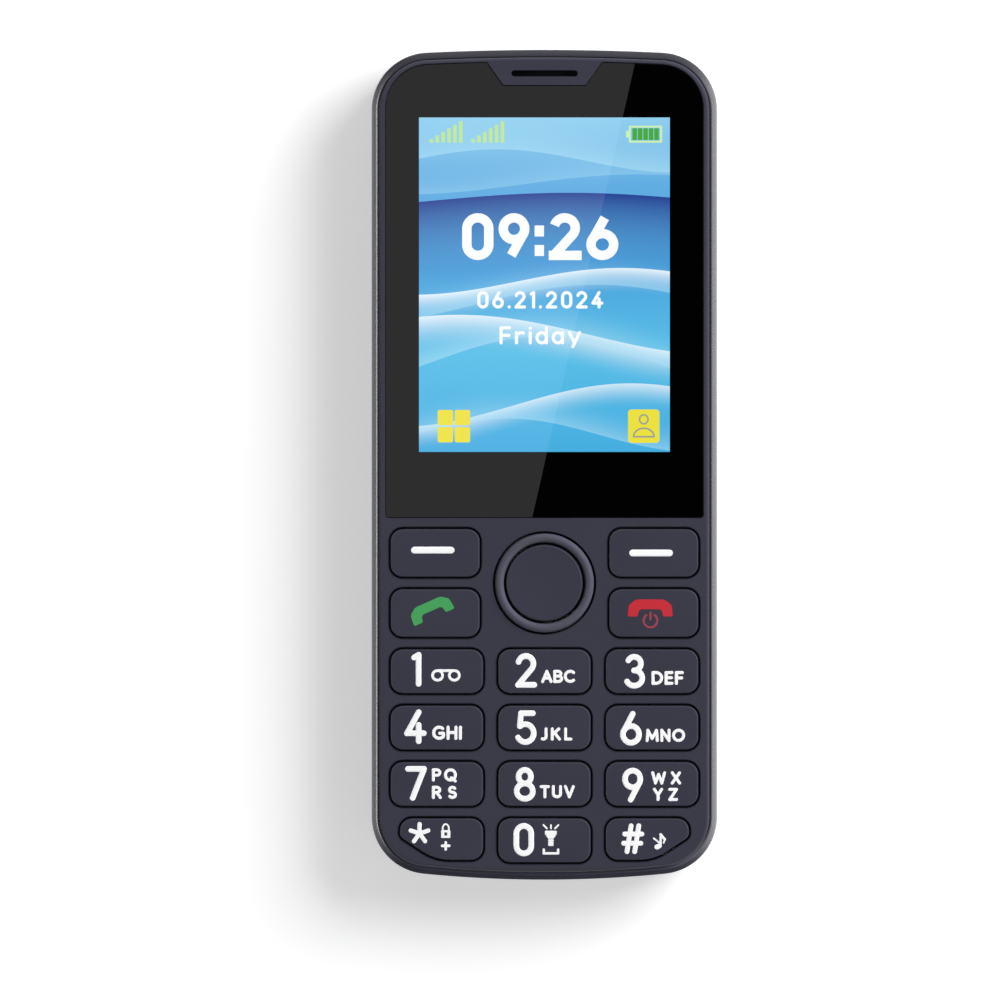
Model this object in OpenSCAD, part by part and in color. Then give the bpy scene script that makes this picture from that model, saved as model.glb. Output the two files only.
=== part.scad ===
// Keypad phone: a bar phone with a lens over a small screen, sixteen keys and a four-way rocker.
// It lies on its back with +Y towards the earpiece, +X to the right and +Z out of the screen.

/* [Screen] */
// Width of the lit area
screen_w = 36.72; // [34:0.02:39]
// Height of the lit area
screen_h = 48.96; // [44:0.02:54]
// Border of the display module beside the lit area
lcd_side = 1.94; // [1.2:0.02:2.6]
// Border of the display module above the lit area
lcd_top = 1.8; // [1.2:0.1:2.2]
// Border of the display module below the lit area, where its driver chip sits
lcd_bottom = 6.4; // [5:0.1:6.8]
// Thickness of the glass cell
panel_t = 1.2; // [0.8:0.05:1.6]
// Thickness of the tray that holds the backlight
backlight_t = 0.8; // [0.6:0.05:1.4]
// Least thickness of the foam between the display and the casing
gasket_min = 0.3; // [0.2:0.05:0.6]

/* [Lens] */
// Thickness of the lens
lens_t = 0.8; // [0.6:0.05:1.2]
// Lens above the lit area
lens_top = 8.15; // [7.6:0.05:10]
// Lens below the lit area
lens_bottom = 9.62; // [9.2:0.02:12]
// Casing rim beside the lens
lens_rim = 2.05; // [2:0.05:3]
// Casing rim above the lens
lens_top_rim = 1.8; // [1.7:0.05:3]
// Gap round the lens in its recess
lens_fit = 0.08; // [0.05:0.01:0.15]
// Thickness of the tape under the lens
tape_t = 0.15; // [0.1:0.05:0.3]
// Width of the bare edge between the tape and the edges it follows
tape_edge = 0.4; // [0.2:0.1:0.8]
// Margin of the window in the casing round the lit area
window_margin = 0.6; // [0.3:0.1:1]

/* [Earpiece] */
// Width of the casing's tab round the earpiece, at the rim
tab_w = 16.9; // [14:0.1:20]
// Width of that tab at its tip
tab_tip_w = 12.1; // [11:0.1:14]
// Length of that tab past the lens edge
tab_l = 3.5; // [2.6:0.1:4]
// Width of the earpiece slot
slot_w = 9.7; // [7:0.1:10.5]
// Height of the earpiece slot
slot_h = 0.9; // [0.6:0.05:1.1]
// Centre of the slot, past the lens edge
slot_in = 1.7; // [1.45:0.05:1.9]
// Thickness of the dust mesh behind the slot
mesh_t = 0.25; // [0.15:0.05:0.4]
// Width of the receiver
receiver_w = 12; // [11:0.5:15]
// Height of the receiver
receiver_h = 4.4; // [4:0.1:4.5]

/* [Keys] */
// Width of a number key
key_w = 13.6; // [12.5:0.1:15]
// Height of a number key
key_h = 6.5; // [6.3:0.1:8]
// Width of a function key
fn_key_w = 13.1; // [12:0.1:13.5]
// Height of a function key
fn_key_h = 7.05; // [7:0.05:9]
// Corner radius of a key
key_corner_r = 1.8; // [1.6:0.1:2]
// Gap between a key and its hole
key_gap = 0.2; // [0.15:0.01:0.3]
// Casing between two columns of key holes
col_web = 1.75; // [1.2:0.05:2]
// Casing between two rows of key holes
row_web = 1.35; // [0.9:0.05:1.6]
// How far a key stands out of the casing
key_proud = 0.3; // [0.1:0.05:0.8]
// Rise of a key's middle above its edge
key_crown = 0.08; // [0.02:0.02:0.2]
// Radius of the edge round a key's top
key_edge = 0.3; // [0.15:0.05:0.4]
// Travel of a key
key_travel = 0.35; // [0.2:0.05:0.5]
// Spare travel under a pressed key
travel_spare = 0.05; // [0.03:0.01:0.1]
// Thickness of the flange that keeps a key in
flange_t = 0.6; // [0.4:0.05:0.8]
// Reach of that flange past its hole
flange_w = 0.35; // [0.25:0.05:0.4]
// Gap between that flange and the casing
flange_gap = 0.05; // [0.03:0.01:0.1]
// How far the outer edge of the two bottom corner keys is drawn in
cut_in = 1.35; // [0.5:0.05:2]
// Width of their slanted corner
cut_w = 5.2; // [4:0.1:7]
// Height of their slanted corner
cut_h = 3.4; // [3:0.1:3.6]
// How far their bottom edge is drawn up
cut_up = 0.35; // [0.3:0.05:0.6]

/* [Rocker] */
// Outer radius of the rocker ring
nav_r = 7.25; // [6.6:0.05:7.4]
// Width of the rocker ring
nav_ring_w = 1.3; // [0.9:0.05:1.5]
// Gap round the outside of the ring
nav_gap = 0.3; // [0.25:0.05:0.4]
// Gap between the ring and the centre key
ok_gap = 0.35; // [0.25:0.05:0.5]
// How far the ring stands out of the casing
nav_proud = 0.55; // [0.4:0.05:1]
// Depth of the dish in the centre key
ok_dish = 0.2; // [0.1:0.05:0.3]
// Radius of the centre key's plunger
ok_plunger_r = 1.8; // [1.4:0.1:2.2]
// Room above and below the ring's flange for its tilt
tilt_gap = 0.4; // [0.38:0.01:0.6]
// Thickness of the ring's flange
nav_flange_t = 0.35; // [0.3:0.05:0.6]
// Thickness of the carrier under the ring
carrier_t = 0.4; // [0.3:0.05:0.6]
// Gap between the carrier's studs and their domes
stud_gap = 0.3; // [0.25:0.05:0.4]
// Height of the carrier's studs
stud_h = 0.1; // [0.1:0.05:0.3]
// Distance of the four rocker domes from the middle
nav_dome_at = 5; // [4.8:0.1:5.2]

/* [Keypad layers] */
// Radius of a switch dome
dome_r = 2; // [1.6:0.1:2.2]
// Height of a switch dome
dome_h = 0.35; // [0.25:0.05:0.5]
// Gap between a dome and the stud above it
dome_gap = 0.05; // [0.02:0.01:0.1]
// Thickness of the silicone mat
mat_t = 0.4; // [0.3:0.05:0.6]
// Height of the mat's pads
pad_h = 0.2; // [0.1:0.05:0.3]
// How far a pad is drawn in from its key's edge
pad_in = 1.2; // [0.8:0.1:1.6]
// Radius of the mat's studs
nub_r = 1.2; // [0.8:0.1:1.6]
// Least height of the mat's studs
nub_min = 0.25; // [0.15:0.05:0.6]
// Gap between the mat and the side walls
mat_gap = 0.9; // [0.7:0.1:1.2]
// Width of the mat's foot along its edge
mat_foot = 0.8; // [0.6:0.1:1]

/* [Casing] */
// Casing between the key holes and the sides
side_rim = 2.55; // [2.3:0.05:3.5]
// Casing between the lens and the first key holes
lens_key_gap = 1.45; // [1.2:0.05:2.5]
// Casing below the last key holes
bottom_rim = 2.35; // [2.2:0.05:4]
// Corner radius of the outline
corner_r = 8.4; // [7:0.1:10]
// Radius of the arched top end
top_arch_r = 360; // [250:10:600]
// Radius of the arched bottom end
bottom_arch_r = 180; // [170:10:400]
// Thickness of the side walls
wall_t = 1.9; // [1.8:0.05:2]
// Thickness of the ledge under the lens
ledge_t = 0.75; // [0.6:0.05:1.2]
// Radius of the front casing's edge
edge_r = 0.5; // [0.4:0.05:0.85]
// Gap between parts that fit inside each other
fit = 0.1; // [0.05:0.01:0.15]
// Height of the trim band
trim_h = 2.5; // [2:0.1:3.5]
// How far the trim band's top leans in
trim_lean = 0.95; // [0.5:0.05:1]
// Width of the groove between the trim band and the front casing
seam_w = 0.2; // [0.2:0.05:0.35]
// Depth of that groove
seam_d = 0.5; // [0.3:0.05:0.8]
// How far the front casing's wall reaches below its plate
skirt = 0.3; // [0.2:0.05:0.5]
// Height of the locating lip inside the band
lip_h = 1.2; // [0.8:0.1:1.6]
// Thickness of the locating lip
lip_t = 0.6; // [0.4:0.05:0.7]

/* [Back] */
// How far the rounding of the back edge reaches in
back_in = 4; // [3:0.1:5]
// How far that rounding reaches up the sides
back_h = 4.5; // [3.8:0.1:5]
// Thickness of the battery cover and of the fixed back
cover_t = 1.1; // [0.9:0.05:1.4]
// Gap between the cover and the rear case
cover_gap = 0.2; // [0.15:0.01:0.3]
// Height of the cover's sides
cover_side_h = 3.2; // [3.1:0.1:3.4]
// Length of the cover past the battery bay
cover_over = 15; // [13:0.5:17]
// Thickness of the rear case's skin under the cover
skin_t = 1; // [0.8:0.05:1.2]
// Wall of the fixed back that the cover meets
end_wall = 2; // [1.8:0.1:3]
// Width of a tongue at the cover's top edge
tongue_w = 7; // [5:0.5:10]
// Length of a tongue
tongue_l = 1.2; // [0.8:0.1:1.4]
// Thickness of a tongue
tongue_t = 0.5; // [0.4:0.05:0.6]
// Distance of the tongues from the middle
tongue_x = 12; // [10:0.5:14]
// Height of the rails inside the cover's sides
rail_h = 0.5; // [0.4:0.05:0.6]
// Reach of the rails into the rear case
rail_w = 0.45; // [0.3:0.05:0.5]
// Distance of the rails from the bottom corners
rail_low = 10; // [6:1:14]
// Distance of the rails from the cover's top edge
rail_high = 5; // [3:0.5:8]
// Number of grip grooves on the cover
grips = 4; // [2:1:6]
// Distance of the first grip groove from the cover's top edge
grip_from = 5; // [3:0.5:8]
// Length of a grip groove
grip_l = 15; // [10:0.5:20]
// Width of a grip groove
grip_w = 0.9; // [0.6:0.1:1.2]
// Depth of a grip groove
grip_d = 0.3; // [0.2:0.05:0.4]

/* [Power and board] */
// Width of the battery
battery_w = 34; // [32:0.5:35]
// Length of the battery
battery_l = 53; // [48:0.5:56]
// Thickness of the battery
battery_t = 5; // [4.6:0.1:6]
// Gap round the battery
battery_fit = 0.2; // [0.1:0.05:0.3]
// Wall of the battery bay
tub_wall = 1; // [0.8:0.1:1.1]
// Thickness of the bay's ceiling
deck_t = 0.6; // [0.5:0.05:1]
// Height for components under the board
component_h = 1.3; // [1.2:0.05:1.8]
// Thickness of the main board
pcb_t = 0.8; // [0.6:0.05:1.2]
// Gap round the main board
pcb_fit = 0.4; // [0.3:0.05:0.6]
// Width of the battery connector
contact_w = 9; // [8:0.5:12]
// Length of the battery connector
contact_l = 4; // [3:0.1:5]
// Width of a SIM socket
sim_w = 15; // [14:0.5:16]
// Length of a SIM socket
sim_l = 16; // [15:0.5:18]
// Gap between the two SIM sockets
sim_apart = 1.2; // [0.8:0.1:2]
// Distance of the SIM sockets from the bay's contact end
sim_end = 2; // [1:0.5:4]
// Width of the memory card socket
card_w = 14; // [13:0.5:16]
// Length of the memory card socket
card_l = 15; // [13:0.5:16]
// Room between the memory card socket and the SIM sockets
card_gap = 7; // [4:0.5:8]
// Thickness of sheet metal in cans and sockets
sheet_t = 0.2; // [0.15:0.05:0.3]

/* [Screws] */
// Radius of the screw bosses
boss_r = 1.2; // [1.1:0.05:1.3]
// Radius of a screw's shank
screw_r = 0.7; // [0.5:0.05:0.75]
// Radius of a screw's head
head_r = 1.25; // [1.1:0.05:1.35]
// Height of a screw's head
head_h = 0.8; // [0.6:0.05:1.2]
// Plastic under a screw's head
clamp_t = 1.2; // [1:0.1:1.6]
// Length of a boss inside its post
boss_in = 0.8; // [0.5:0.1:1.1]
// Wall of a post round its boss
post_wall = 0.8; // [0.6:0.05:0.85]
// Length of thread in the boss
thread_l = 2.8; // [2:0.1:3]

/* [Ports] */
// Diameter of the headphone bore
jack_d = 3.6; // [3.55:0.01:3.7]
// Depth of the headphone bore
jack_l = 13.2; // [12:0.1:14.5]
// Radius of the headphone socket's nose
jack_nose_r = 2.3; // [2.2:0.05:2.4]
// Width of the headphone socket's body
jack_w = 6; // [5.4:0.1:6.2]
// Height of the headphone socket's body
jack_h = 4.8; // [4.8:0.05:5]
// Distance of the headphone socket from the middle
jack_x = 13.8; // [13.6:0.1:14.2]
// Width of the charging port's shell
usb_w = 8.94; // [8.5:0.02:9.2]
// Height of the charging port's shell
usb_h = 3.2; // [3:0.02:3.4]
// Length of the charging port's shell
usb_l = 7.3; // [6:0.1:7.4]
// Metal of the charging port's shell
usb_shell = 0.3; // [0.2:0.05:0.35]
// How far the ports lie inside the outline
port_recess = 0.3; // [0.2:0.05:0.5]
// Gap round the ports in the rear case
port_fit = 0.12; // [0.08:0.01:0.2]
// Distance of the microphone from the middle
mic_x = 12; // [11:0.5:14]
// Radius of the microphone's hole
mic_hole_r = 0.45; // [0.3:0.05:0.6]

/* [Camera, torch and sound] */
// Radius of the camera's window
window_r = 3.6; // [3.4:0.1:4.4]
// Thickness of the camera's window
window_t = 0.6; // [0.4:0.05:0.7]
// How far the window lies inside the back
window_recess = 0.15; // [0.1:0.05:0.2]
// Radius of the camera's view through the back
view_r = 2.6; // [2:0.1:3]
// Width of the camera module
camera_w = 7.5; // [7:0.1:9]
// Width of the loudspeaker
speaker_w = 15; // [13:0.5:17]
// Length of the loudspeaker
speaker_l = 10; // [9:0.5:11]
// Thickness of the loudspeaker
speaker_t = 3; // [2.5:0.1:3.5]
// Number of grille slots
grille_n = 4; // [3:1:5]
// Width of a grille slot
grille_w = 9; // [7:0.5:11]
// Height of a grille slot
grille_h = 0.9; // [0.6:0.1:1]
// Distance from one grille slot to the next
grille_step = 1.8; // [1.6:0.1:2]
// Radius of the vibration motor
motor_r = 4; // [3.5:0.1:4.5]
// Thickness of the vibration motor
motor_t = 2.7; // [2:0.1:3.2]
// Distance between the camera and the vibration motor
motor_off = 4; // [2:0.5:5]
// Radius of the torch lens
torch_r = 1.4; // [1.1:0.05:1.5]
// Distance of the torch from the middle
torch_x = 11.5; // [9:0.5:13]
// Width of the antenna
antenna_w = 30; // [26:1:32]
// Length of the antenna
antenna_l = 5.5; // [4:0.5:6]
// Thickness of the antenna
antenna_t = 0.15; // [0.1:0.05:0.3]

/* [Hidden] */
$fn = 48;
corner_steps = 8;
arch_steps = 6;
key_steps = 5;
// Small overlap that makes a cut pass right through
over = 0.5;
// Least radius left at a key's corner when its outline is drawn in
least_r = 0.05;

case_colour = "#3d3d4b";
key_colour = "#3f3f4d";
trim_colour = "#8e8f96";
rubber_colour = "#b9bcc4";
metal_colour = "silver";
black_colour = "#17181b";
board_colour = "#1f5a3c";

// Front layout, from the lens down to the last row of keys
fn_hole_h = fn_key_h + 2 * key_gap;
key_hole_h = key_h + 2 * key_gap;
key_hole_w = key_w + 2 * key_gap;
col_pitch = key_hole_w + col_web;
lens_l = lens_top + screen_h + lens_bottom;
keypad_l = 2 * fn_hole_h + 4 * key_hole_h + 5 * row_web;
front_l = lens_top_rim + lens_l + lens_key_gap + keypad_l + bottom_rim;

// Back layout, from the headphone socket up to the antenna
part_gap = 0.3;
jack_wall = 0.5;
tub_l = battery_l + 2 * (battery_fit + tub_wall);
arch_rise = bottom_arch_r - sqrt(pow(bottom_arch_r, 2) - pow(jack_x, 2));
jack_end_at = arch_rise + port_recess + jack_l + jack_wall;
back_l = jack_end_at + part_gap + tub_l - tub_wall + cover_over + end_wall + speaker_l + camera_w
    + antenna_l + back_in + 6 * part_gap;

// Widths of the keypad, of the display in its casing and of the battery bay between its screw posts
keypad_w = 3 * key_hole_w + 2 * col_web + 2 * side_rim;
lcd_w = screen_w + 2 * lcd_side;
inner_side = wall_t + fit + lip_t + part_gap;
bay_w = battery_w + 2 * battery_fit;
tub_w = bay_w + 2 * tub_wall;
post_r = boss_r + fit + post_wall;
post_side = wall_t + 2 * post_r + fit;
body_l = max(front_l, back_l);
body_w = max(keypad_w, lcd_w + 2 * inner_side, tub_w + 2 * post_side);
y_top = body_l / 2;
y_bottom = -body_l / 2;

// Heights of the layers, from the back to the front
z_core = cover_t + cover_gap;
z_bay_top = z_core + battery_t + battery_fit;
z_deck_top = z_bay_top + deck_t;
z_pcb = z_deck_top + component_h;
z_pcb_top = z_pcb + pcb_t;
key_stack = dome_h + dome_gap + nub_min + mat_t + pad_h + key_travel + travel_spare + flange_t + flange_gap;
lcd_stack = backlight_t + panel_t + gasket_min;
nav_stack = dome_h + stud_gap + stud_h + carrier_t + 2 * tilt_gap + nav_flange_t;
stack_h = max(key_stack, lcd_stack, nav_stack);
z_plate = z_pcb_top + stack_h;
z_ledge = z_plate + ledge_t;
z_face = z_ledge + tape_t + lens_t;
z_seat = z_plate - skirt;
z_trim_top = z_seat + seam_d;
z_split = z_trim_top - trim_h;

// Keypad heights, from the casing down
z_flange = z_plate - flange_gap - flange_t;
z_pad = z_flange - key_travel - travel_spare;
z_mat_top = z_pad - pad_h;
z_mat = z_mat_top - mat_t;
z_dome_top = z_pcb_top + dome_h;
z_key_top = z_face + key_proud;
z_nav_flange = z_plate - tilt_gap - nav_flange_t;
z_carrier_top = z_nav_flange - tilt_gap;

// Outline of the body: straight sides, round corners and two arched ends
corner_x = body_w / 2 - corner_r;
top_y = y_top - top_arch_r;
bottom_y = y_bottom + bottom_arch_r;
top_a = acos(corner_x / (top_arch_r - corner_r));
bottom_a = acos(corner_x / (bottom_arch_r - corner_r));
corner_top_y = top_y + (top_arch_r - corner_r) * sin(top_a);
corner_bottom_y = bottom_y - (bottom_arch_r - corner_r) * sin(bottom_a);

// Places on the front
y_lens_top = y_top - lens_top_rim;
y_lens_bottom = y_lens_top - lens_l;
y_screen_top = y_lens_top - lens_top;
y_screen_bottom = y_screen_top - screen_h;
y_screen = (y_screen_top + y_screen_bottom) / 2;
y_lcd_top = y_screen_top + lcd_top;
y_lcd_bottom = y_screen_bottom - lcd_bottom;
lcd_h = y_lcd_top - y_lcd_bottom;
y_slot = y_lens_top - slot_in;
y_keys_top = y_lens_bottom - lens_key_gap;
fn_pitch = fn_hole_h + row_web;
key_pitch = key_hole_h + row_web;
y_fn = [for (i = [0:1]) y_keys_top - fn_hole_h / 2 - i * fn_pitch];
y_rows = [for (i = [0:3]) y_keys_top - 2 * fn_pitch - key_hole_h / 2 - i * key_pitch];
y_nav = (y_fn[0] + y_fn[1]) / 2;
fn_x = col_pitch + (key_w - fn_key_w) / 2;
ok_r = nav_r - nav_ring_w - ok_gap;

// Places at the back
y_jack_end = y_bottom + jack_end_at;
y_tub0 = y_jack_end + part_gap;
y_battery = y_tub0 + tub_wall + battery_fit;
y_bay1 = y_battery + battery_l + battery_fit;
y_tub1 = y_bay1 + tub_wall;
y_cover_top = y_bay1 + cover_over;
y_back = y_cover_top + cover_gap + end_wall;
y_speaker = y_back + part_gap + speaker_l / 2;
y_camera = y_back + 2 * part_gap + speaker_l + camera_w / 2;
y_antenna = y_camera + camera_w / 2 + part_gap + antenna_l / 2;
z_jack = z_pcb - jack_h / 2;
z_usb = z_pcb - usb_h / 2;
z_torch = z_pcb - torch_r - fit;

// Screws: two beside the bay, just below the display, and two where four key holes meet
boss_y = y_lcd_bottom - part_gap - boss_r;
screw_places = [
    for (side = [-1, 1]) [side * (tub_w / 2 + fit + post_r), boss_y],
    for (side = [-1, 1]) [side * col_pitch / 2, (y_rows[2] + y_rows[3]) / 2]
];
z_boss = z_pcb - boss_in;
z_clamp = z_boss - clamp_t;

// Corners of a rectangle, and of the key whose outer bottom corner is slanted
function rectangle(w, h) = [[w / 2, h / 2], [-w / 2, h / 2], [-w / 2, -h / 2], [w / 2, -h / 2]];
function slanted(w, h) = [
    [w / 2, h / 2],
    [cut_in - w / 2, h / 2],
    [cut_in - w / 2, cut_up + cut_h - h / 2],
    [cut_in + cut_w - w / 2, cut_up - h / 2],
    [w / 2, cut_up - h / 2]
];
function mirrored(points) = [for (i = [len(points) - 1:-1:0]) [-points[i].x, points[i].y]];
function even(r) = [r, r, r, r];
plain_radii = even(key_corner_r);
slant_radii = [key_corner_r, key_corner_r, key_corner_r * 2 / 3, 4 * key_corner_r, key_corner_r];
slant_radii_right = [for (i = [4:-1:0]) slant_radii[i]];

// Every key that is pressed straight in: name, place, corners and corner radii
NUMBER_NAMES = [
    ["key_1", "key_2", "key_3"],
    ["key_4", "key_5", "key_6"],
    ["key_7", "key_8", "key_9"],
    ["key_star", "key_0", "key_hash"]
];
FN_NAMES = [["soft_key_left", "soft_key_right"], ["call_key", "end_key"]];
function number_corners(name) =
    name == "key_star" ? slanted(key_w, key_h)
    : name == "key_hash" ? mirrored(slanted(key_w, key_h))
    : rectangle(key_w, key_h);
function number_radii(name) =
    name == "key_star" ? slant_radii
    : name == "key_hash" ? slant_radii_right
    : plain_radii;
KEYS = [
    for (row = [0:1]) for (side = [0:1])
        let (place = [(2 * side - 1) * fn_x, y_fn[row]])
        [FN_NAMES[row][side], place, rectangle(fn_key_w, fn_key_h), plain_radii],
    for (row = [0:3]) for (col = [0:2])
        let (name = NUMBER_NAMES[row][col])
        [name, [(col - 1) * col_pitch, y_rows[row]], number_corners(name), number_radii(name)]
];

// Points along an arc
function arc(centre, r, a0, a1, steps) =
    [for (i = [0:steps]) let (a = a0 + (a1 - a0) * i / steps) centre + r * [cos(a), sin(a)]];
function inner(points) = [for (i = [1:len(points) - 2]) points[i]];

// The body's outline, drawn in by d
function body_outline(d) = concat(
    arc([corner_x, corner_top_y], corner_r - d, 0, top_a, corner_steps),
    inner(arc([0, top_y], top_arch_r - d, top_a, 180 - top_a, arch_steps)),
    arc([-corner_x, corner_top_y], corner_r - d, 180 - top_a, 180, corner_steps),
    arc([-corner_x, corner_bottom_y], corner_r - d, 180, 180 + bottom_a, corner_steps),
    inner(arc([0, bottom_y], bottom_arch_r - d, 180 + bottom_a, 360 - bottom_a, arch_steps)),
    arc([corner_x, corner_bottom_y], corner_r - d, 360 - bottom_a, 360, corner_steps));

// Where the arched ends lie at x, drawn in by d
function bottom_edge(x, d) = bottom_y - sqrt(pow(bottom_arch_r - d, 2) - x * x);
function top_edge(x, d) = top_y + sqrt(pow(top_arch_r - d, 2) - x * x);

// Corners drawn in by d along both edges, and the outline with an arc at each corner
function unit(v) = v / norm(v);
function at(list, i) = list[(i + len(list)) % len(list)];
function drawn_in(points, d) = [
    for (i = [0:len(points) - 1])
        let (e1 = unit(points[i] - at(points, i - 1)), e2 = unit(at(points, i + 1) - points[i]))
        let (n1 = [-e1.y, e1.x], n2 = [-e2.y, e2.x])
        points[i] + d * (n1 + n2) / (1 + n1 * n2)
];
function rounded(points, radii, steps) = [
    for (i = [0:len(points) - 1])
        let (u = unit(at(points, i - 1) - points[i]), v = unit(at(points, i + 1) - points[i]))
        let (half = acos(u * v) / 2, a0 = atan2(u.x, -u.y))
        let (centre = points[i] + unit(u + v) * radii[i] / sin(half))
        for (p = arc(centre, radii[i], a0, a0 + 180 - 2 * half, steps)) p
];
function key_outline(key, d) =
    rounded(drawn_in(key[2], d), [for (r = key[3]) max(r - d, least_r)], key_steps);

// Half the profile of the back: a quarter ellipse from the back face up to the side, t inside it
function back_profile(t) =
    [for (a = [90:-15:0]) [back_h - (back_h - t) * sin(a), back_in - (back_in - t) * cos(a)]];

// Inset of the rear case's hollow at height z, above its skin
function hollow_inset(z) =
    let (t = z_core + skin_t, up = max(0, back_h - z) / (back_h - t))
    max(wall_t, back_in - (back_in - t) * sqrt(1 - up * up));

// Solid through rings of [height, outline], all with as many points
module loft(rings) {
    n = len(rings[0][1]);
    last = len(rings) - 1;
    sides = [
        for (k = [0:last - 1]) for (i = [0:n - 1])
            let (a = k * n + i, b = k * n + (i + 1) % n)
            for (face = [[a, a + n, b + n], [a, b + n, b]]) face
    ];
    polyhedron(
        points = [for (ring = rings) for (p = ring[1]) [p.x, p.y, ring[0]]],
        faces = concat([[for (i = [0:n - 1]) i]], sides, [[for (i = [n - 1:-1:0]) last * n + i]]));
}

// Solid of the body's outline, drawn in at each height as a profile of [height, inset] says
module body_loft(profile) {
    loft([for (p = profile) [p[0], body_outline(p[1])]]);
}

// Straight slab of the body's outline
module body_slab(z0, z1, d) {
    translate([0, 0, z0])
        linear_extrude(z1 - z0)
            polygon(body_outline(d));
}

// Box from one corner to the opposite one
module box(low, high) {
    translate(low)
        cube(high - low);
}

// Bar with round ends
module stadium(w, h) {
    square([w - h, h], center = true);
    for (side = [-1, 1])
        translate([side * (w - h) / 2, 0])
            circle(d = h);
}

// Cylinder along Y, from y0 up to y1
module along_y(x, z, y0, y1, r) {
    translate([x, y1, z])
        rotate([90, 0, 0])
            cylinder(r = r, h = y1 - y0);
}

module at_screws() {
    for (place = screw_places)
        translate([place.x, place.y, 0])
            children();
}

// Front

// Flat outline of the casing's tab round the earpiece, grown by d
module tab_shape(d) {
    polygon([
        [-tab_w / 2 - d, y_top],
        [-tab_w / 2 - d, y_lens_top],
        [-tab_tip_w / 2 - d, y_lens_top - tab_l - d],
        [tab_tip_w / 2 + d, y_lens_top - tab_l - d],
        [tab_w / 2 + d, y_lens_top],
        [tab_w / 2 + d, y_top]
    ]);
}

// Flat outline of the lens, drawn in by d
module lens_shape(d) {
    difference() {
        intersection() {
            translate([0, lens_rim - lens_top_rim])
                polygon(body_outline(lens_rim + d));
            translate([-body_w / 2, y_lens_bottom + d])
                square([body_w, body_l]);
        }
        tab_shape(d);
    }
}

module window_shape(margin) {
    translate([0, y_screen])
        square([screen_w + 2 * margin, screen_h + 2 * margin], center = true);
}

// Plate with rounded edges, a short wall below, a lip above the keypad and four screw bosses
module front_case() {
    outer_in = trim_lean + seam_w;
    edge = [for (a = [0:18:90]) [z_face - edge_r * (1 - sin(a)), outer_in + edge_r * (1 - cos(a))]];
    color(case_colour)
        difference() {
            union() {
                difference() {
                    body_loft(concat([[z_seat, outer_in]], edge));
                    body_slab(z_seat - over, z_plate, wall_t + fit);
                }
                intersection() {
                    difference() {
                        body_slab(z_seat - lip_h, z_plate + ledge_t / 2, wall_t + fit);
                        body_slab(z_seat - lip_h - over, z_plate + ledge_t, wall_t + fit + lip_t);
                    }
                    box([-body_w, y_screen_bottom, 0], [body_w, y_top, z_face]);
                }
                at_screws()
                    translate([0, 0, z_boss])
                        cylinder(r = boss_r, h = z_plate + ledge_t / 2 - z_boss);
            }
            translate([0, 0, z_ledge])
                linear_extrude(z_face)
                    lens_shape(-lens_fit);
            translate([0, 0, z_plate - over])
                linear_extrude(z_face)
                    window_shape(window_margin);
            translate([0, y_slot, z_plate - over])
                linear_extrude(z_face)
                    stadium(slot_w, slot_h);
            for (key = KEYS)
                translate([key[1].x, key[1].y, z_plate - over])
                    linear_extrude(z_face)
                        polygon(key_outline(key, -key_gap));
            translate([0, y_nav, z_plate - over])
                cylinder(r = nav_r + nav_gap, h = z_face);
            at_screws()
                translate([0, 0, z_boss - over])
                    cylinder(r = screw_r + fit / 4, h = over + thread_l + fit);
        }
}

// Band that leans in along a quarter ellipse, with a ledge for the front casing
module trim_band() {
    lean = [for (a = [0:15:90]) [z_trim_top - trim_h * (1 - sin(a)), trim_lean * (1 - cos(a))]];
    color(trim_colour)
        difference() {
            body_loft(lean);
            body_slab(z_seat, z_trim_top + over, trim_lean + fit / 2);
            body_slab(z_split - over, z_trim_top + over, wall_t);
        }
}

module lens() {
    color(black_colour)
        translate([0, 0, z_ledge + tape_t])
            linear_extrude(lens_t)
                lens_shape(0);
}

module lens_tape() {
    color(black_colour)
        translate([0, 0, z_ledge])
            linear_extrude(tape_t)
                difference() {
                    lens_shape(tape_edge);
                    window_shape(window_margin + tape_edge);
                }
}

module earpiece_mesh() {
    margin = 0.8;
    color(black_colour)
        translate([0, y_slot, z_plate - mesh_t])
            linear_extrude(mesh_t)
                stadium(slot_w + 2 * margin, slot_h + margin);
}

// Receiver: a flat can with rounded corners and a front port
module earpiece_receiver() {
    can_r = 0.8;
    port_d = 0.3;
    receiver_t = stack_h - mesh_t;
    y_receiver = y_slot + slot_h / 2 + fit - receiver_h / 2;
    color(metal_colour)
        difference() {
            translate([0, y_receiver, z_pcb_top])
                linear_extrude(receiver_t)
                    polygon(rounded(rectangle(receiver_w, receiver_h), even(can_r), key_steps));
            translate([0, y_slot, z_plate - mesh_t - port_d])
                linear_extrude(over)
                    stadium(slot_w - slot_h, slot_h / 2);
        }
}

// Display

// Rear glass with a bare edge for the driver chip, and a shorter front glass
module lcd_panel() {
    bare_edge = 4;
    chip = [12, 1, 0.3];
    glass_t = panel_t / 2;
    z_panel = z_pcb_top + backlight_t;
    color("midnightblue") {
        box([-lcd_w / 2, y_lcd_bottom, z_panel], [lcd_w / 2, y_lcd_top, z_panel + glass_t]);
        box([-lcd_w / 2, y_lcd_bottom + bare_edge, z_panel + glass_t / 2],
            [lcd_w / 2, y_lcd_top, z_panel + panel_t]);
        translate([0, y_lcd_bottom + bare_edge - chip.y, z_panel + glass_t])
            translate([-chip.x / 2, -chip.y / 2, -glass_t / 2])
                cube(chip + [0, 0, glass_t / 2]);
    }
}

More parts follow.
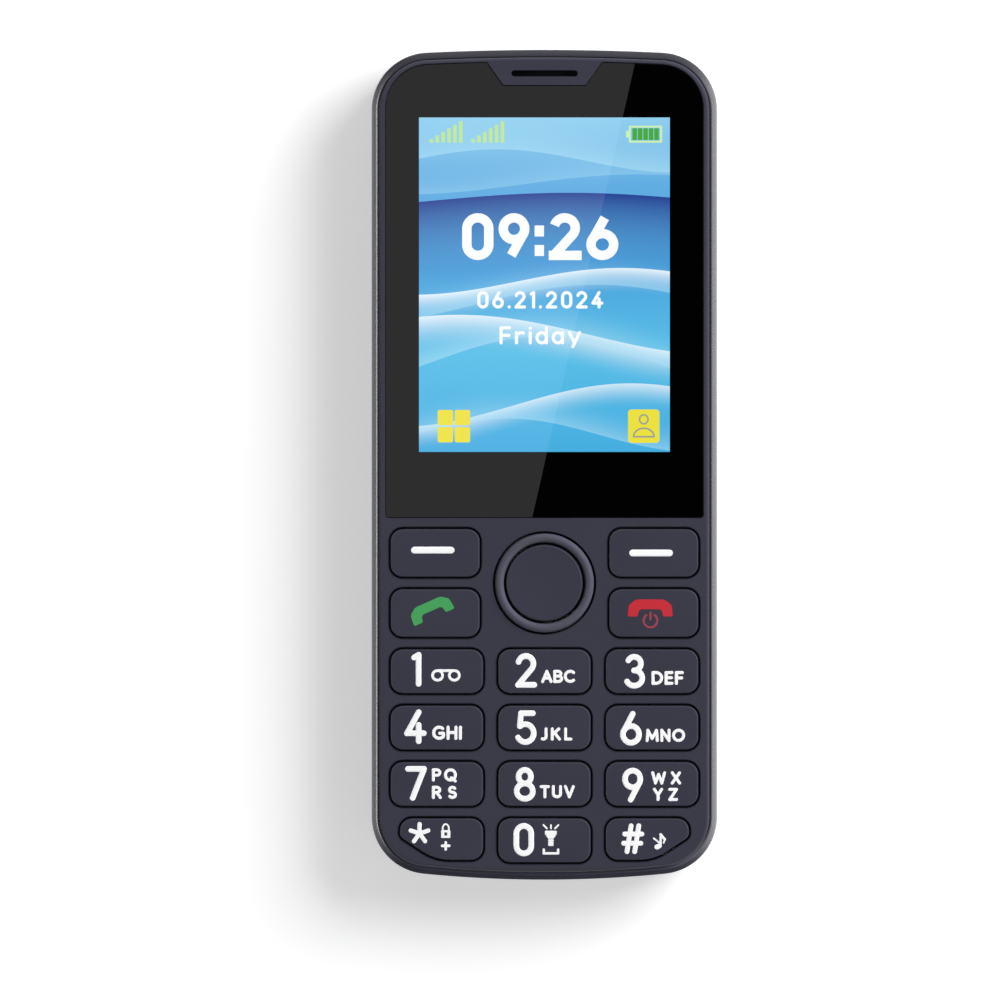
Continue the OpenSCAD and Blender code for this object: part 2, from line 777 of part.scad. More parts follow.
// Tray with a shallow recess in its underside
module backlight_tray() {
    relief = [2, 2, 0.2];
    color("white")
        difference() {
            box([-lcd_w / 2, y_lcd_bottom, z_pcb_top], [lcd_w / 2, y_lcd_top, z_pcb_top + backlight_t]);
            box([relief.x - lcd_w / 2, y_lcd_bottom + relief.y, z_pcb_top - over],
                [lcd_w / 2 - relief.x, y_lcd_top - relief.y, z_pcb_top + relief.z]);
        }
}

module display_gasket() {
    z_gasket = z_pcb_top + backlight_t + panel_t;
    gasket_w = 1.2;
    color(black_colour)
        translate([0, 0, z_gasket])
            linear_extrude(z_plate - z_gasket)
                difference() {
                    window_shape(window_margin + gasket_w);
                    window_shape(window_margin);
                }
}

// Flat cable from the bare edge of the glass, down over two bends and onto the board
module display_flex() {
    flex_w = 18;
    flex_t = 0.12;
    bend_r = 0.3;
    lap = 1.6;
    foot = 1.2;
    z_glass = z_pcb_top + backlight_t + panel_t / 2;
    y_bend = y_lcd_bottom - fit;
    y_foot = y_bend - 2 * bend_r - flex_t;
    color("darkorange")
        translate([-flex_w / 2, 0, 0])
            rotate([90, 0, 90])
                linear_extrude(flex_w) {
                    translate([y_bend, z_glass])
                        square([lap, flex_t]);
                    translate([y_bend - bend_r - flex_t, z_pcb_top + bend_r + flex_t])
                        square([flex_t, z_glass - z_pcb_top - 2 * bend_r - flex_t]);
                    translate([y_foot - foot, z_pcb_top])
                        square([foot, flex_t]);
                    intersection() {
                        translate([y_bend, z_glass - bend_r])
                            difference() {
                                circle(r = bend_r + flex_t);
                                circle(r = bend_r);
                            }
                        translate([y_bend - bend_r - flex_t, z_glass - bend_r])
                            square(bend_r + flex_t);
                    }
                    intersection() {
                        translate([y_foot, z_pcb_top + bend_r + flex_t])
                            difference() {
                                circle(r = bend_r + flex_t);
                                circle(r = bend_r);
                            }
                        translate([y_foot, z_pcb_top])
                            square(bend_r + flex_t);
                    }
                }
}

// Keypad

// Key with a crowned top, a rounded edge and a flange that the casing's walls trim
module key_piece(key) {
    edge = [
        for (a = [0:30:90])
            [z_key_top - key_crown - key_edge * (1 - sin(a)), key_edge * (1 - cos(a))]
    ];
    crown = [[z_key_top, 2 * key_edge + key_corner_r / 2]];
    profile = concat([[z_flange + flange_t / 2, 0]], edge, crown);
    color(key_colour) {
        translate([key[1].x, key[1].y, 0])
            loft([for (p = profile) [p[0], key_outline(key, p[1])]]);
        intersection() {
            translate([key[1].x, key[1].y, z_flange])
                linear_extrude(flange_t)
                    polygon(key_outline(key, -key_gap - flange_w));
            body_slab(z_flange - over, z_plate, wall_t + fit + flange_gap);
        }
    }
}

// Ring with a round bead on top and a flange below the casing
module nav_ring() {
    bead_r = nav_ring_w / 2;
    z_top = z_face + nav_proud;
    flange_reach = nav_gap + flange_w;
    color(trim_colour)
        translate([0, y_nav, 0])
            rotate_extrude() {
                translate([nav_r - nav_ring_w, z_nav_flange])
                    square([nav_ring_w, z_top - bead_r - z_nav_flange]);
                translate([nav_r - bead_r, z_top - bead_r])
                    circle(r = bead_r);
                translate([nav_r - nav_ring_w, z_nav_flange])
                    square([nav_ring_w + flange_reach, nav_flange_t]);
            }
}

// Disc under the ring, with a stud over each of its four domes
module nav_carrier() {
    stud_r = 1;
    carrier_r = nav_r + fit;
    color(rubber_colour)
        translate([0, y_nav, 0]) {
            difference() {
                translate([0, 0, z_carrier_top - carrier_t])
                    cylinder(r = carrier_r, h = carrier_t);
                translate([0, 0, z_carrier_top - carrier_t - over])
                    cylinder(r = ok_plunger_r + ok_gap, h = carrier_t + 2 * over);
            }
            for (a = [0:90:270])
                rotate(a)
                    translate([nav_dome_at, 0, z_dome_top + stud_gap])
                        cylinder(r = stud_r, h = z_carrier_top - carrier_t / 2 - z_dome_top - stud_gap);
        }
}

// Centre key with a dished top and a plunger that reaches down to its dome
module ok_key() {
    z_cap = z_plate - tilt_gap;
    z_plunger = z_dome_top + key_travel + travel_spare;
    flat_r = ok_r - key_edge;
    dish_r = (pow(flat_r, 2) + pow(ok_dish, 2)) / (2 * ok_dish);
    dish_a = asin(flat_r / dish_r);
    dish = arc([0, z_key_top - ok_dish + dish_r], dish_r, 270, 270 + dish_a, 2 * key_steps);
    edge = arc([flat_r, z_key_top - key_edge], key_edge, 90, 0, key_steps);
    foot = [[ok_r, z_cap], [ok_plunger_r, z_cap], [ok_plunger_r, z_plunger], [0, z_plunger]];
    color(key_colour)
        translate([0, y_nav, 0])
            rotate_extrude()
                polygon(concat(dish, inner(edge), foot));
}

// Flat outline of the mat: the casing's inside below the display, open round the rocker and the bosses
module mat_shape(d) {
    difference() {
        intersection() {
            polygon(body_outline(wall_t + mat_gap + d));
            translate([-body_w / 2, y_bottom])
                square([body_w, y_keys_top + flange_w - y_bottom - d]);
        }
        translate([0, y_nav])
            circle(r = nav_r + nav_gap + flange_w + d);
        for (place = screw_places)
            translate([place.x, place.y])
                circle(r = boss_r + part_gap + d);
    }
}

// Sheet with a pad under each key, a stud over each dome and a foot along the edge
module keymat() {
    color(rubber_colour) {
        translate([0, 0, z_mat])
            linear_extrude(mat_t)
                mat_shape(0);
        translate([0, 0, z_pcb_top])
            linear_extrude(z_mat + mat_t / 2 - z_pcb_top)
                intersection() {
                    mat_shape(0);
                    difference() {
                        polygon(body_outline(wall_t));
                        polygon(body_outline(wall_t + mat_gap + mat_foot));
                        for (key = KEYS)
                            translate(key[1])
                                circle(r = dome_r + part_gap);
                    }
                }
        for (key = KEYS)
            translate([key[1].x, key[1].y, 0]) {
                translate([0, 0, z_mat + mat_t / 2])
                    linear_extrude(z_pad - z_mat - mat_t / 2)
                        polygon(key_outline(key, pad_in));
                translate([0, 0, z_dome_top + dome_gap])
                    cylinder(r = nub_r, h = z_mat + mat_t / 2 - z_dome_top - dome_gap);
            }
    }
}

// Snap dome: an arc turned about its axis, standing on the board
module dome() {
    arc_r = (pow(dome_r, 2) + pow(dome_h, 2)) / (2 * dome_h);
    arc_a = asin(dome_r / arc_r);
    rotate_extrude()
        polygon(concat([[0, 0]], arc([0, dome_h - arc_r], arc_r, 90 - arc_a, 90, key_steps)));
}

module key_domes() {
    color(metal_colour) {
        for (key = KEYS)
            translate([key[1].x, key[1].y, z_pcb_top])
                dome();
        translate([0, y_nav, z_pcb_top]) {
            dome();
            for (a = [0:90:270])
                rotate(a)
                    translate([nav_dome_at, 0, 0])
                        dome();
        }
    }
}

// Boards and electrics

module main_board() {
    color(board_colour)
        difference() {
            body_slab(z_pcb, z_pcb_top, wall_t + pcb_fit);
            at_screws()
                translate([0, 0, z_pcb - over])
                    cylinder(r = boss_r + fit, h = pcb_t + 2 * over);
        }
}

// Open-bottomed can of thin sheet, hung under the board
module can(low, high) {
    difference() {
        box(low, high);
        box(low + [sheet_t, sheet_t, sheet_t], high + [-sheet_t, -sheet_t, over]);
    }
}

module shield_cans() {
    can_gap = 1.5;
    can_l = 22;
    x_in = max(contact_w, camera_w) / 2 + can_gap;
    x_out = body_w / 2 - wall_t - pcb_fit - can_gap;
    y0 = y_tub1 + can_gap;
    color(metal_colour)
        for (side = [0, 1])
            mirror([side, 0, 0])
                can([x_in, y0, z_deck_top + fit], [x_out, y0 + can_l, z_pcb]);
}

// Card socket of thin sheet with a mouth towards the bottom end
module socket(w, l, mouth_w) {
    mouth_h = 0.85;
    stop_t = 1;
    z0 = z_deck_top + fit;
    difference() {
        box([-w / 2, 0, z0], [w / 2, l, z_pcb]);
        box([-mouth_w / 2, -over, z0 + sheet_t], [mouth_w / 2, l - stop_t, z0 + sheet_t + mouth_h]);
    }
}

sim_y = y_bay1 - sim_end - sim_l;
card_y = sim_y - card_gap - card_l;
sim_step = (sim_w + sim_apart) / 2;

module sim_sockets() {
    mouth_w = 12.6;
    color(metal_colour)
        for (side = [-1, 1])
            translate([side * sim_step, sim_y, 0])
                socket(sim_w, sim_l, mouth_w);
}

module card_socket() {
    mouth_w = 11.3;
    color(metal_colour)
        translate([0, card_y, 0])
            socket(card_w, card_l, mouth_w);
}

// Connector block with three prongs that reach the battery through the bay's wall
module battery_contacts() {
    prong = [1.2, 1.6];
    prong_step = 2.6;
    prong_gap = 0.05;
    z_block = z_core + skin_t + fit;
    y_block = y_tub1 + fit;
    color("goldenrod") {
        box([-contact_w / 2, y_block, z_block], [contact_w / 2, y_block + contact_l, z_pcb]);
        for (i = [-1:1])
            box([i * prong_step - prong.x / 2, y_battery + battery_l + prong_gap, z_block + prong.y / 2],
                [i * prong_step + prong.x / 2, y_block + over, z_block + prong.y * 3 / 2]);
    }
}

// Charging port: a round-ended shell, closed behind, with a tongue in the middle
module usb_port() {
    tongue = [6.7, 0.7];
    tongue_short = 1;
    back_wall = 0.8;
    y_mouth = bottom_edge(usb_w / 2, 0) + port_recess;
    color(metal_colour)
        translate([0, y_mouth + usb_l, z_usb])
            rotate([90, 0, 0]) {
                difference() {
                    linear_extrude(usb_l)
                        stadium(usb_w, usb_h);
                    translate([0, 0, back_wall])
                        linear_extrude(usb_l)
                            stadium(usb_w - 2 * usb_shell, usb_h - 2 * usb_shell);
                }
                translate([0, 0, back_wall / 2])
                    linear_extrude(usb_l - back_wall / 2 - tongue_short)
                        square(tongue, center = true);
            }
}

// Headphone socket: a body under the board, a nose through the wall and a blind bore
module audio_jack() {
    y_mouth = bottom_edge(jack_x, 0) + port_recess;
    y_body = bottom_edge(jack_x + jack_w / 2, hollow_inset(z_pcb - jack_h)) + port_fit;
    color(black_colour)
        difference() {
            union() {
                box([jack_x - jack_w / 2, y_body, z_pcb - jack_h],
                    [jack_x + jack_w / 2, y_mouth + jack_l + jack_wall, z_pcb]);
                along_y(jack_x, z_jack, y_mouth, y_body + over, jack_nose_r);
            }
            along_y(jack_x, z_jack, y_mouth - over, y_mouth + jack_l, jack_d / 2);
        }
}

mic_size = [3.6, 2.8, 1.1];
z_mic = z_pcb - mic_size.z / 2;

module microphone() {
    y_mic = bottom_edge(mic_x + mic_size.x / 2, wall_t) + part_gap;
    color(metal_colour)
        translate([-mic_x - mic_size.x / 2, y_mic, z_pcb - mic_size.z])
            cube(mic_size);
}

torch_flange = 0.6;
torch_flange_t = 0.7;

// Light emitter on the board behind the torch lens
module torch_led() {
    led = [3, 2.4];
    y_led = top_edge(torch_x + torch_r, wall_t) - torch_flange_t - part_gap - led.y;
    color("khaki")
        box([-torch_x - led.x / 2, y_led, z_torch - torch_r], [-torch_x + led.x / 2, y_led + led.y, z_pcb]);
}

// Round lens through the top wall, with a flange inside
module torch_lens() {
    y_wall = top_edge(torch_x + torch_r, wall_t);
    color("aliceblue") {
        along_y(-torch_x, z_torch, y_wall - torch_flange_t / 2, top_edge(torch_x, port_recess), torch_r);
        intersection() {
            along_y(-torch_x, z_torch, y_wall - torch_flange_t, y_wall - fit / 2, torch_r + torch_flange);
            box([-body_w, 0, z_deck_top], [body_w, y_top, z_pcb - fit / 2]);
        }
    }
}

// Camera: a square base under the board, a barrel and a dished front glass
module camera_module() {
    base_h = 2.2;
    barrel_in = 0.4;
    barrel_r = camera_w / 2 - barrel_in;
    eye_r = 1.4;
    eye_d = 0.6;
    z_front = cover_t + fit;
    color(black_colour)
        difference() {
            union() {
                box([-camera_w / 2, y_camera - camera_w / 2, z_pcb - base_h],
                    [camera_w / 2, y_camera + camera_w / 2, z_pcb]);
                translate([0, y_camera, z_front])
                    cylinder(r = barrel_r, h = z_pcb - base_h / 2 - z_front);
            }
            translate([0, y_camera, z_front - over])
                cylinder(r = eye_r, h = over + eye_d);
        }
}

module camera_window() {
    color(black_colour)
        translate([0, y_camera, window_recess])
            cylinder(r = window_r, h = window_t);
}

// Loudspeaker: a rounded frame with its magnet behind and a shallow cone in front
module loudspeaker() {
    frame_r = 2;
    frame_share = 0.6;
    frame_h = speaker_t * frame_share;
    magnet_in = 2;
    cone_d = 0.4;
    corners = rectangle(speaker_w, speaker_l);
    z0 = cover_t + mesh_t;
    color(black_colour)
        translate([0, y_speaker, z0])
            difference() {
                union() {
                    linear_extrude(frame_h)
                        polygon(rounded(corners, even(frame_r), key_steps));
                    linear_extrude(speaker_t)
                        polygon(rounded(drawn_in(corners, magnet_in), even(frame_r / 2), key_steps));
                }
                translate([0, 0, -over])
                    linear_extrude(over + cone_d)
                        polygon(rounded(drawn_in(corners, frame_r / 2), even(frame_r), key_steps));
            }
}

module speaker_mesh() {
    mesh_r = 1.5;
    color("dimgray")
        translate([0, y_speaker, cover_t])
            linear_extrude(mesh_t)
                polygon(rounded(rectangle(speaker_w, speaker_l), even(mesh_r), key_steps));
}

// Coin motor, glued to the inside of the fixed back
module vibration_motor() {
    step_h = 0.3;
    step_w = 0.8;
    x_motor = camera_w / 2 + motor_off + part_gap + motor_r;
    color(metal_colour)
        translate([x_motor, y_camera, cover_t]) {
            cylinder(r = motor_r, h = motor_t - step_h);
            cylinder(r = motor_r - step_w, h = motor_t);
        }
}

// Thin antenna with two slots, on the inside of the fixed back
module antenna() {
    cut_share = 0.35;
    cut = [antenna_w * cut_share, 1];
    color("peru")
        translate([0, y_antenna, cover_t])
            linear_extrude(antenna_t)
                difference() {
                    square([antenna_w, antenna_l], center = true);
                    for (side = [-1, 1])
                        translate([side * antenna_w / 4, side * antenna_l / 6])
                            square(cut, center = true);
                }
}

// Back

// Space of the battery cover, with its gap, below the rear case
module cover_space() {
    difference() {
        box([-body_w, -body_l, -over], [body_w, y_cover_top + cover_gap, cover_side_h + cover_gap]);
        body_loft(concat(back_profile(z_core), [[back_h + over, z_core]]));
    }
}

// Hollow of the rear case: over the whole length above its skin, and deeper inside the fixed back
module rear_hollow() {
    function hollow(t) = concat(
        [for (p = back_profile(t)) [p[0], max(p[1], wall_t)]],
        [[back_h + over, wall_t], [z_split + over, wall_t]]);
    body_loft(hollow(z_core + skin_t));
    intersection() {
        body_loft(hollow(cover_t));
        box([-body_w, y_back, 0], [body_w, body_l, z_split + 2 * over]);
    }
}

rail_y0 = corner_bottom_y + rail_low;
rail_y1 = y_cover_top - rail_high;
z_rail = cover_side_h - 2 * rail_h;
// Inner face of the cover's side at the rails' height
rail_a = asin((back_h - z_rail) / (back_h - cover_t));
rail_x = body_w / 2 - back_in + (back_in - cover_t) * cos(rail_a);

// Tub of walls, skin, battery bay and screw posts, with its ports, grille and windows
module rear_case() {
    socket_edge = 1.5;
    color(case_colour)
        difference() {
            union() {
                difference() {
                    body_loft(concat(back_profile(0), [[z_split, 0]]));
                    cover_space();
                    rear_hollow();
                }
                box([-tub_w / 2, y_tub0, z_core + skin_t / 2], [tub_w / 2, y_tub1, z_deck_top]);
                intersection() {
                    at_screws()
                        translate([0, 0, z_core + skin_t / 2])
                            cylinder(r = post_r, h = z_pcb - z_core - skin_t / 2);
                    body_loft(concat(back_profile(z_core + skin_t / 2), [[z_split, z_core + skin_t / 2]]));
                }
            }
            box([-bay_w / 2, y_tub0 + tub_wall, 0], [bay_w / 2, y_bay1, z_bay_top]);
            for (side = [-1, 1])
                translate([side * sim_step, 0, 0])
                    box([socket_edge - sim_w / 2, sim_y + socket_edge, z_bay_top - over],
                        [sim_w / 2 - socket_edge, sim_y + sim_l - socket_edge, z_deck_top + over]);
            box([socket_edge - card_w / 2, card_y + socket_edge, z_bay_top - over],
                [card_w / 2 - socket_edge, card_y + card_l - socket_edge, z_deck_top + over]);
            box([-contact_w / 2 + fit, y_bay1 - over, z_core + battery_t / 4],
                [contact_w / 2 - fit, y_tub1 + over, z_core + battery_t * 3 / 4]);
            at_screws() {
                translate([0, 0, z_boss])
                    cylinder(r = boss_r + fit, h = boss_in + over);
                translate([0, 0, z_clamp - over])
                    cylinder(r = screw_r + fit, h = clamp_t + 2 * over);
                cylinder(r = head_r + fit, h = z_clamp);
            }
            translate([0, bottom_edge(0, wall_t) + over, z_usb])
                rotate([90, 0, 0])
                    linear_extrude(wall_t + 2 * over)
                        stadium(usb_w + 2 * port_fit, usb_h + 2 * port_fit);
            along_y(jack_x, z_jack, y_bottom - over, y_bottom + wall_t + 2 * over, jack_nose_r + port_fit);
            along_y(-mic_x, z_mic, y_bottom - over, y_bottom + wall_t + 2 * over, mic_hole_r);
            along_y(-torch_x, z_torch, y_top - wall_t - 2 * over, y_top + over, torch_r + port_fit / 2);
            translate([0, y_camera, -over])
                cylinder(r = window_r + fit / 2, h = over + window_recess + window_t);
            translate([0, y_camera, -over])
                cylinder(r = view_r, h = cover_t + 2 * over);
            for (i = [0:grille_n - 1])
                translate([0, y_speaker + (i - (grille_n - 1) / 2) * grille_step, -over])
                    linear_extrude(cover_t + 2 * over)
                        stadium(grille_w, grille_h);
            for (side = [-1, 1])
                box([side * tongue_x - tongue_w / 2 - fit, y_cover_top, cover_t / 2 - tongue_t / 2 - fit],
                    [side * tongue_x + tongue_w / 2 + fit, y_cover_top + tongue_l + cover_gap,
                     cover_t / 2 + tongue_t / 2 + fit]);
            for (side = [0, 1])
                mirror([side, 0, 0])
                    box([rail_x - rail_w - fit, y_bottom, z_rail - fit],
                        [body_w / 2, rail_y1 + cover_gap, z_rail + rail_h + fit]);
        }
}

// Machine screws up through the posts into the bosses
module case_screws() {
    recess_r = 0.6;
    recess_d = 0.4;
    color("dimgray")
        at_screws()
            difference() {
                union() {
                    translate([0, 0, z_clamp - head_h])
                        cylinder(r = head_r, h = head_h);
                    translate([0, 0, z_clamp - head_h / 2])
                        cylinder(r = screw_r, h = head_h / 2 + clamp_t + thread_l);
                }
                translate([0, 0, z_clamp - head_h - over])
                    cylinder(r = recess_r, h = over + recess_d, $fn = 6);
            }
}

// Battery pack with rounded long edges
module battery() {
    edge = 1;
    corners = rectangle(battery_w, battery_t);
    color("lightsteelblue")
        translate([0, y_battery + battery_l, z_core + battery_t / 2])
            rotate([90, 0, 0])
                linear_extrude(battery_l)
                    polygon(rounded(corners, even(edge), key_steps));
}

// Sliding cover: the rounded back below the fixed part, with tongues, side rails and grip grooves
module battery_cover() {
    grip_step = 2 * grip_w;
    grip_y = y_cover_top - grip_from;
    color(case_colour) {
        difference() {
            intersection() {
                body_loft(concat(back_profile(0), [[back_h + over, 0]]));
                box([-body_w, -body_l, -over], [body_w, y_cover_top, cover_side_h]);
            }
            body_loft(concat(back_profile(cover_t), [[back_h + 2 * over, cover_t]]));
            for (i = [0:grips - 1])
                translate([0, grip_y - i * grip_step, -over])
                    linear_extrude(over + grip_d)
                        stadium(grip_l, grip_w);
        }
        for (side = [-1, 1])
            box([side * tongue_x - tongue_w / 2, y_cover_top - over, cover_t / 2 - tongue_t / 2],
                [side * tongue_x + tongue_w / 2, y_cover_top + tongue_l, cover_t / 2 + tongue_t / 2]);
        for (side = [0, 1])
            mirror([side, 0, 0])
                box([rail_x - rail_w, rail_y0, z_rail], [rail_x + rail_w, rail_y1, z_rail + rail_h]);
    }
}

front_case();
trim_band();
lens();
lens_tape();
earpiece_mesh();
earpiece_receiver();
lcd_panel();
backlight_tray();
display_gasket();
display_flex();
nav_ring();
nav_carrier();
ok_key();
keymat();
key_domes();
main_board();
shield_cans();
sim_sockets();
card_socket();
battery_contacts();
usb_port();
audio_jack();
microphone();
torch_led();
torch_lens();
camera_module();
camera_window();
loudspeaker();
speaker_mesh();
vibration_motor();
antenna();
rear_case();
case_screws();
battery();
battery_cover();
for (key = KEYS)
    key_piece(key);
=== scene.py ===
from math import acos, atan2, cos, pi, radians, sin, sqrt

import bpy
import numpy as np
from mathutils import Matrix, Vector
from mathutils.geometry import delaunay_2d_cdt


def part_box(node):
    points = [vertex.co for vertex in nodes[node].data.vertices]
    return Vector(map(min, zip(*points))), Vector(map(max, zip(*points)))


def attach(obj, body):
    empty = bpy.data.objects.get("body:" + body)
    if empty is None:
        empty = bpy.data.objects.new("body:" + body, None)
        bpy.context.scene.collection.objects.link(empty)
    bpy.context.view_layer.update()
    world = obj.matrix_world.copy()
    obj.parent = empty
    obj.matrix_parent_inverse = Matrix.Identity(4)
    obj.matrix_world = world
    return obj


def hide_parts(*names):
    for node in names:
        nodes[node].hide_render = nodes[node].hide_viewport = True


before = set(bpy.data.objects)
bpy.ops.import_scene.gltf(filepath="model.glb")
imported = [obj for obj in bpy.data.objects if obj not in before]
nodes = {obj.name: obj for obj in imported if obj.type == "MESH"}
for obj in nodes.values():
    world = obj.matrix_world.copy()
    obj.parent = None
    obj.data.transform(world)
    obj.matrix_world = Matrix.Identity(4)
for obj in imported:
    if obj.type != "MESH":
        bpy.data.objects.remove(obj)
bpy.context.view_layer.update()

# Sizes in millimetres, as the part's source has them
MM = 0.001
BODY_W, BODY_L = 50.6, 121.58
Y_TOP, Y_BOTTOM = BODY_L / 2, -BODY_L / 2
CORNER_R, TOP_ARCH_R, BOTTOM_ARCH_R = 8.4, 360.0, 180.0
WALL_T, FIT, TRIM_LEAN, TRIM_H, SEAM_W, EDGE_R = 1.9, 0.1, 0.95, 2.5, 0.2, 0.5
Z_SPLIT, Z_SEAT, Z_PLATE, Z_TRIM_TOP = 9.2, 11.2, 11.5, 11.7
Z_LEDGE, Z_LENS, Z_FACE = 12.25, 12.4, 13.2
LENS_RIM, LENS_TOP_RIM, LENS_FIT, LENS_R = 2.05, 1.8, 0.08, 0.5
Y_LENS_TOP, Y_LENS_BOTTOM = 58.99, -7.74
TAB_W, TAB_TIP_W, TAB_L, TAB_FOOT_R, TAB_TIP_R = 16.9, 12.1, 3.5, 0.3, 0.4
SLOT_W, SLOT_H, Y_SLOT = 9.7, 0.9, 57.29
SCREEN_X, SCREEN_LOW, SCREEN_HIGH = 18.36, 1.88, 50.84
SCREEN_H, SCREEN_Y = SCREEN_HIGH - SCREEN_LOW, (SCREEN_LOW + SCREEN_HIGH) / 2
WINDOW_MARGIN, WINDOW_R = 0.6, 0.3
KEY_W, KEY_H, FN_W, FN_H = 13.6, 6.5, 13.1, 7.05
KEY_R, KEY_GAP, KEY_EDGE, KEY_CROWN = 1.8, 0.2, 0.3, 0.08
CUT_IN, CUT_W, CUT_H, CUT_UP = 1.35, 5.2, 3.4, 0.35
COLUMN, FN_X = 15.75, 16.0
FN_ROWS, ROWS = (-12.915, -21.715), (-30.24, -38.49, -46.74, -54.99)
Z_KEY_LOW, Z_KEY_TOP = 10.85, 13.5
Z_RIM = Z_KEY_TOP - KEY_CROWN
Y_NAV, NAV_R, NAV_W, NAV_GAP, OK_R = -17.315, 7.25, 1.3, 0.3, 5.6
Z_NAV_LOW, Z_NAV_TOP, NAV_FLANGE_T, NAV_FLANGE_R = 10.75, 13.75, 0.35, 7.9
OK_DISH, Z_OK_LOW, OK_PLUNGER_R, Z_PLUNGER = 0.2, 11.1, 1.8, 9.95

# Radii that soften the edges of holes, of the keys' holes, and of the lens and its recess
LIP, KEY_LIP, LENS_LIP = 0.1, 0.18, 0.06
# Distances from the middle between which the band's plating fades, and what is left of its seam where that closes
FADE_START, FADE_END, SEAM_LEFT = 51.5, 59.2, 0.02
# How far printed and lit signs stand out, and how deep they reach into what carries them
INK_LIFT, SIGN_LIFT, POWER_LIFT, LIT_LIFT, SINK = 0.02, 0.035, 0.05, 0.012, 0.02


# Outlines: a row of arcs, each point with its arc's centre, signed radius and the angle it faces

def unit(vectors):
    """Vectors divided by their lengths."""
    return vectors / np.linalg.norm(vectors, axis=-1, keepdims=True)


def bend(centre, r, a0, a1, steps):
    """Arc of radius r about a centre, from angle a0 to a1 in radians."""
    angle = np.linspace(a0, a1, steps + 1)
    return np.tile(np.asarray(centre, float), (steps + 1, 1)), np.full(steps + 1, float(r)), angle


def corner(before, at, after, r, steps=6):
    """Arc of radius r in the corner between two straight edges. A hollow corner gets a negative radius, so that
    drawing it in still moves it along its facing."""
    before, at, after = (np.asarray(p, float) for p in (before, at, after))
    u, v = unit(at - before), unit(after - at)
    turn = atan2(u[0] * v[1] - u[1] * v[0], u @ v)
    n_u, n_v = np.array([u[1], -u[0]]), np.array([v[1], -v[0]])
    signed = r if turn > 0 else -r
    centre = at - (n_u + n_v) * signed / (1 + n_u @ n_v)
    first = atan2(n_u[1], n_u[0])
    return bend(centre, signed, first, first + turn, steps)


def join(*parts):
    """One outline of several stretches, in their order."""
    return tuple(np.concatenate(column) for column in zip(*parts))


def rounded(points, radii, steps=6):
    """Closed polygon, anticlockwise, with an arc in each corner."""
    n = len(points)
    return join(*[corner(points[i - 1], points[i], points[(i + 1) % n], radii[i], steps) for i in range(n)])


def rectangle(w, h, r, x=0.0, y=0.0, steps=6):
    """Rectangle about a middle, with four round corners."""
    points = [(x + w / 2, y + h / 2), (x - w / 2, y + h / 2), (x - w / 2, y - h / 2), (x + w / 2, y - h / 2)]
    return rounded(points, [r] * 4, steps)


def circle(x, y, r, steps=96):
    """Full turn of an arc, without its last point."""
    return tuple(column[:-1] for column in bend((x, y), r, 0, 2 * pi, steps))


def facing(outline):
    """Unit vectors of the angles that an outline's points face."""
    return np.stack([np.cos(outline[2]), np.sin(outline[2])], -1)


def drawn_in(outline, inset):
    """Points of an outline drawn in by an inset: each arc's centre plus its facing times its shortened radius."""
    return outline[0] + (outline[1] - inset)[:, None] * facing(outline)


def other_half(outline):
    """The left half of a symmetrical outline: its right half turned over, and walked on from the last point."""
    centre, radius, angle = (column[::-1] for column in outline)
    return centre * (-1, 1), radius, pi - angle


def body_outline():
    """The phone's outline: two arched ends and four round corners, joined by straight sides."""
    x = BODY_W / 2 - CORNER_R
    top, bottom = Y_TOP - TOP_ARCH_R, Y_BOTTOM + BOTTOM_ARCH_R
    ta, ba = acos(x / (TOP_ARCH_R - CORNER_R)), acos(x / (BOTTOM_ARCH_R - CORNER_R))
    ty, by = top + (TOP_ARCH_R - CORNER_R) * sin(ta), bottom - (BOTTOM_ARCH_R - CORNER_R) * sin(ba)
    return join(bend((x, ty), CORNER_R, 0, ta, 20), bend((0, top), TOP_ARCH_R, ta, pi - ta, 24),
                bend((-x, ty), CORNER_R, pi - ta, pi, 20), bend((-x, by), CORNER_R, pi, pi + ba, 20),
                bend((0, bottom), BOTTOM_ARCH_R, pi + ba, 2 * pi - ba, 24),
                bend((x, by), CORNER_R, 2 * pi - ba, 2 * pi, 20))


def lens_outline():
    """The lens: the phone's outline drawn in, cut straight below and notched round the earpiece's tab."""
    x, r = BODY_W / 2 - CORNER_R, CORNER_R - LENS_RIM
    top = Y_TOP - TOP_ARCH_R + LENS_RIM - LENS_TOP_RIM
    ta = acos(x / (TOP_ARCH_R - CORNER_R))
    ty = top + (TOP_ARCH_R - CORNER_R) * sin(ta)
    side, arch_r, low = BODY_W / 2 - LENS_RIM, TOP_ARCH_R - LENS_RIM, Y_LENS_BOTTOM
    foot_x, clear = TAB_W / 2, 0.4
    foot_y = top + sqrt(arch_r ** 2 - foot_x ** 2)
    tip_x, tip_y = TAB_TIP_W / 2, Y_LENS_TOP - TAB_L
    foot_a = acos((foot_x + clear) / arch_r)
    right = join(corner((0, low), (side, low), (side, 0), LENS_R),
                 bend((x, ty), r, 0, ta, 20), bend((0, top), arch_r, ta, foot_a, 8),
                 corner((side, foot_y), (foot_x, foot_y), (tip_x, tip_y), TAB_FOOT_R),
                 corner((foot_x, foot_y), (tip_x, tip_y), (0, tip_y), TAB_TIP_R))
    return join(right, other_half(right))


def slanted_corners(side):
    """Corners and radii of a bottom corner key, whose outer lower corner is cut off; side is -1 or 1."""
    w, h = KEY_W / 2, KEY_H / 2
    points = [(w, h), (CUT_IN - w, h), (CUT_IN - w, CUT_UP + CUT_H - h), (CUT_IN + CUT_W - w, CUT_UP - h),
              (w, CUT_UP - h)]
    radii = [KEY_R, KEY_R, KEY_R * 2 / 3, 4 * KEY_R, KEY_R]
    if side > 0:
        points, radii = [(-x, y) for x, y in points[::-1]], radii[::-1]
    return points, radii


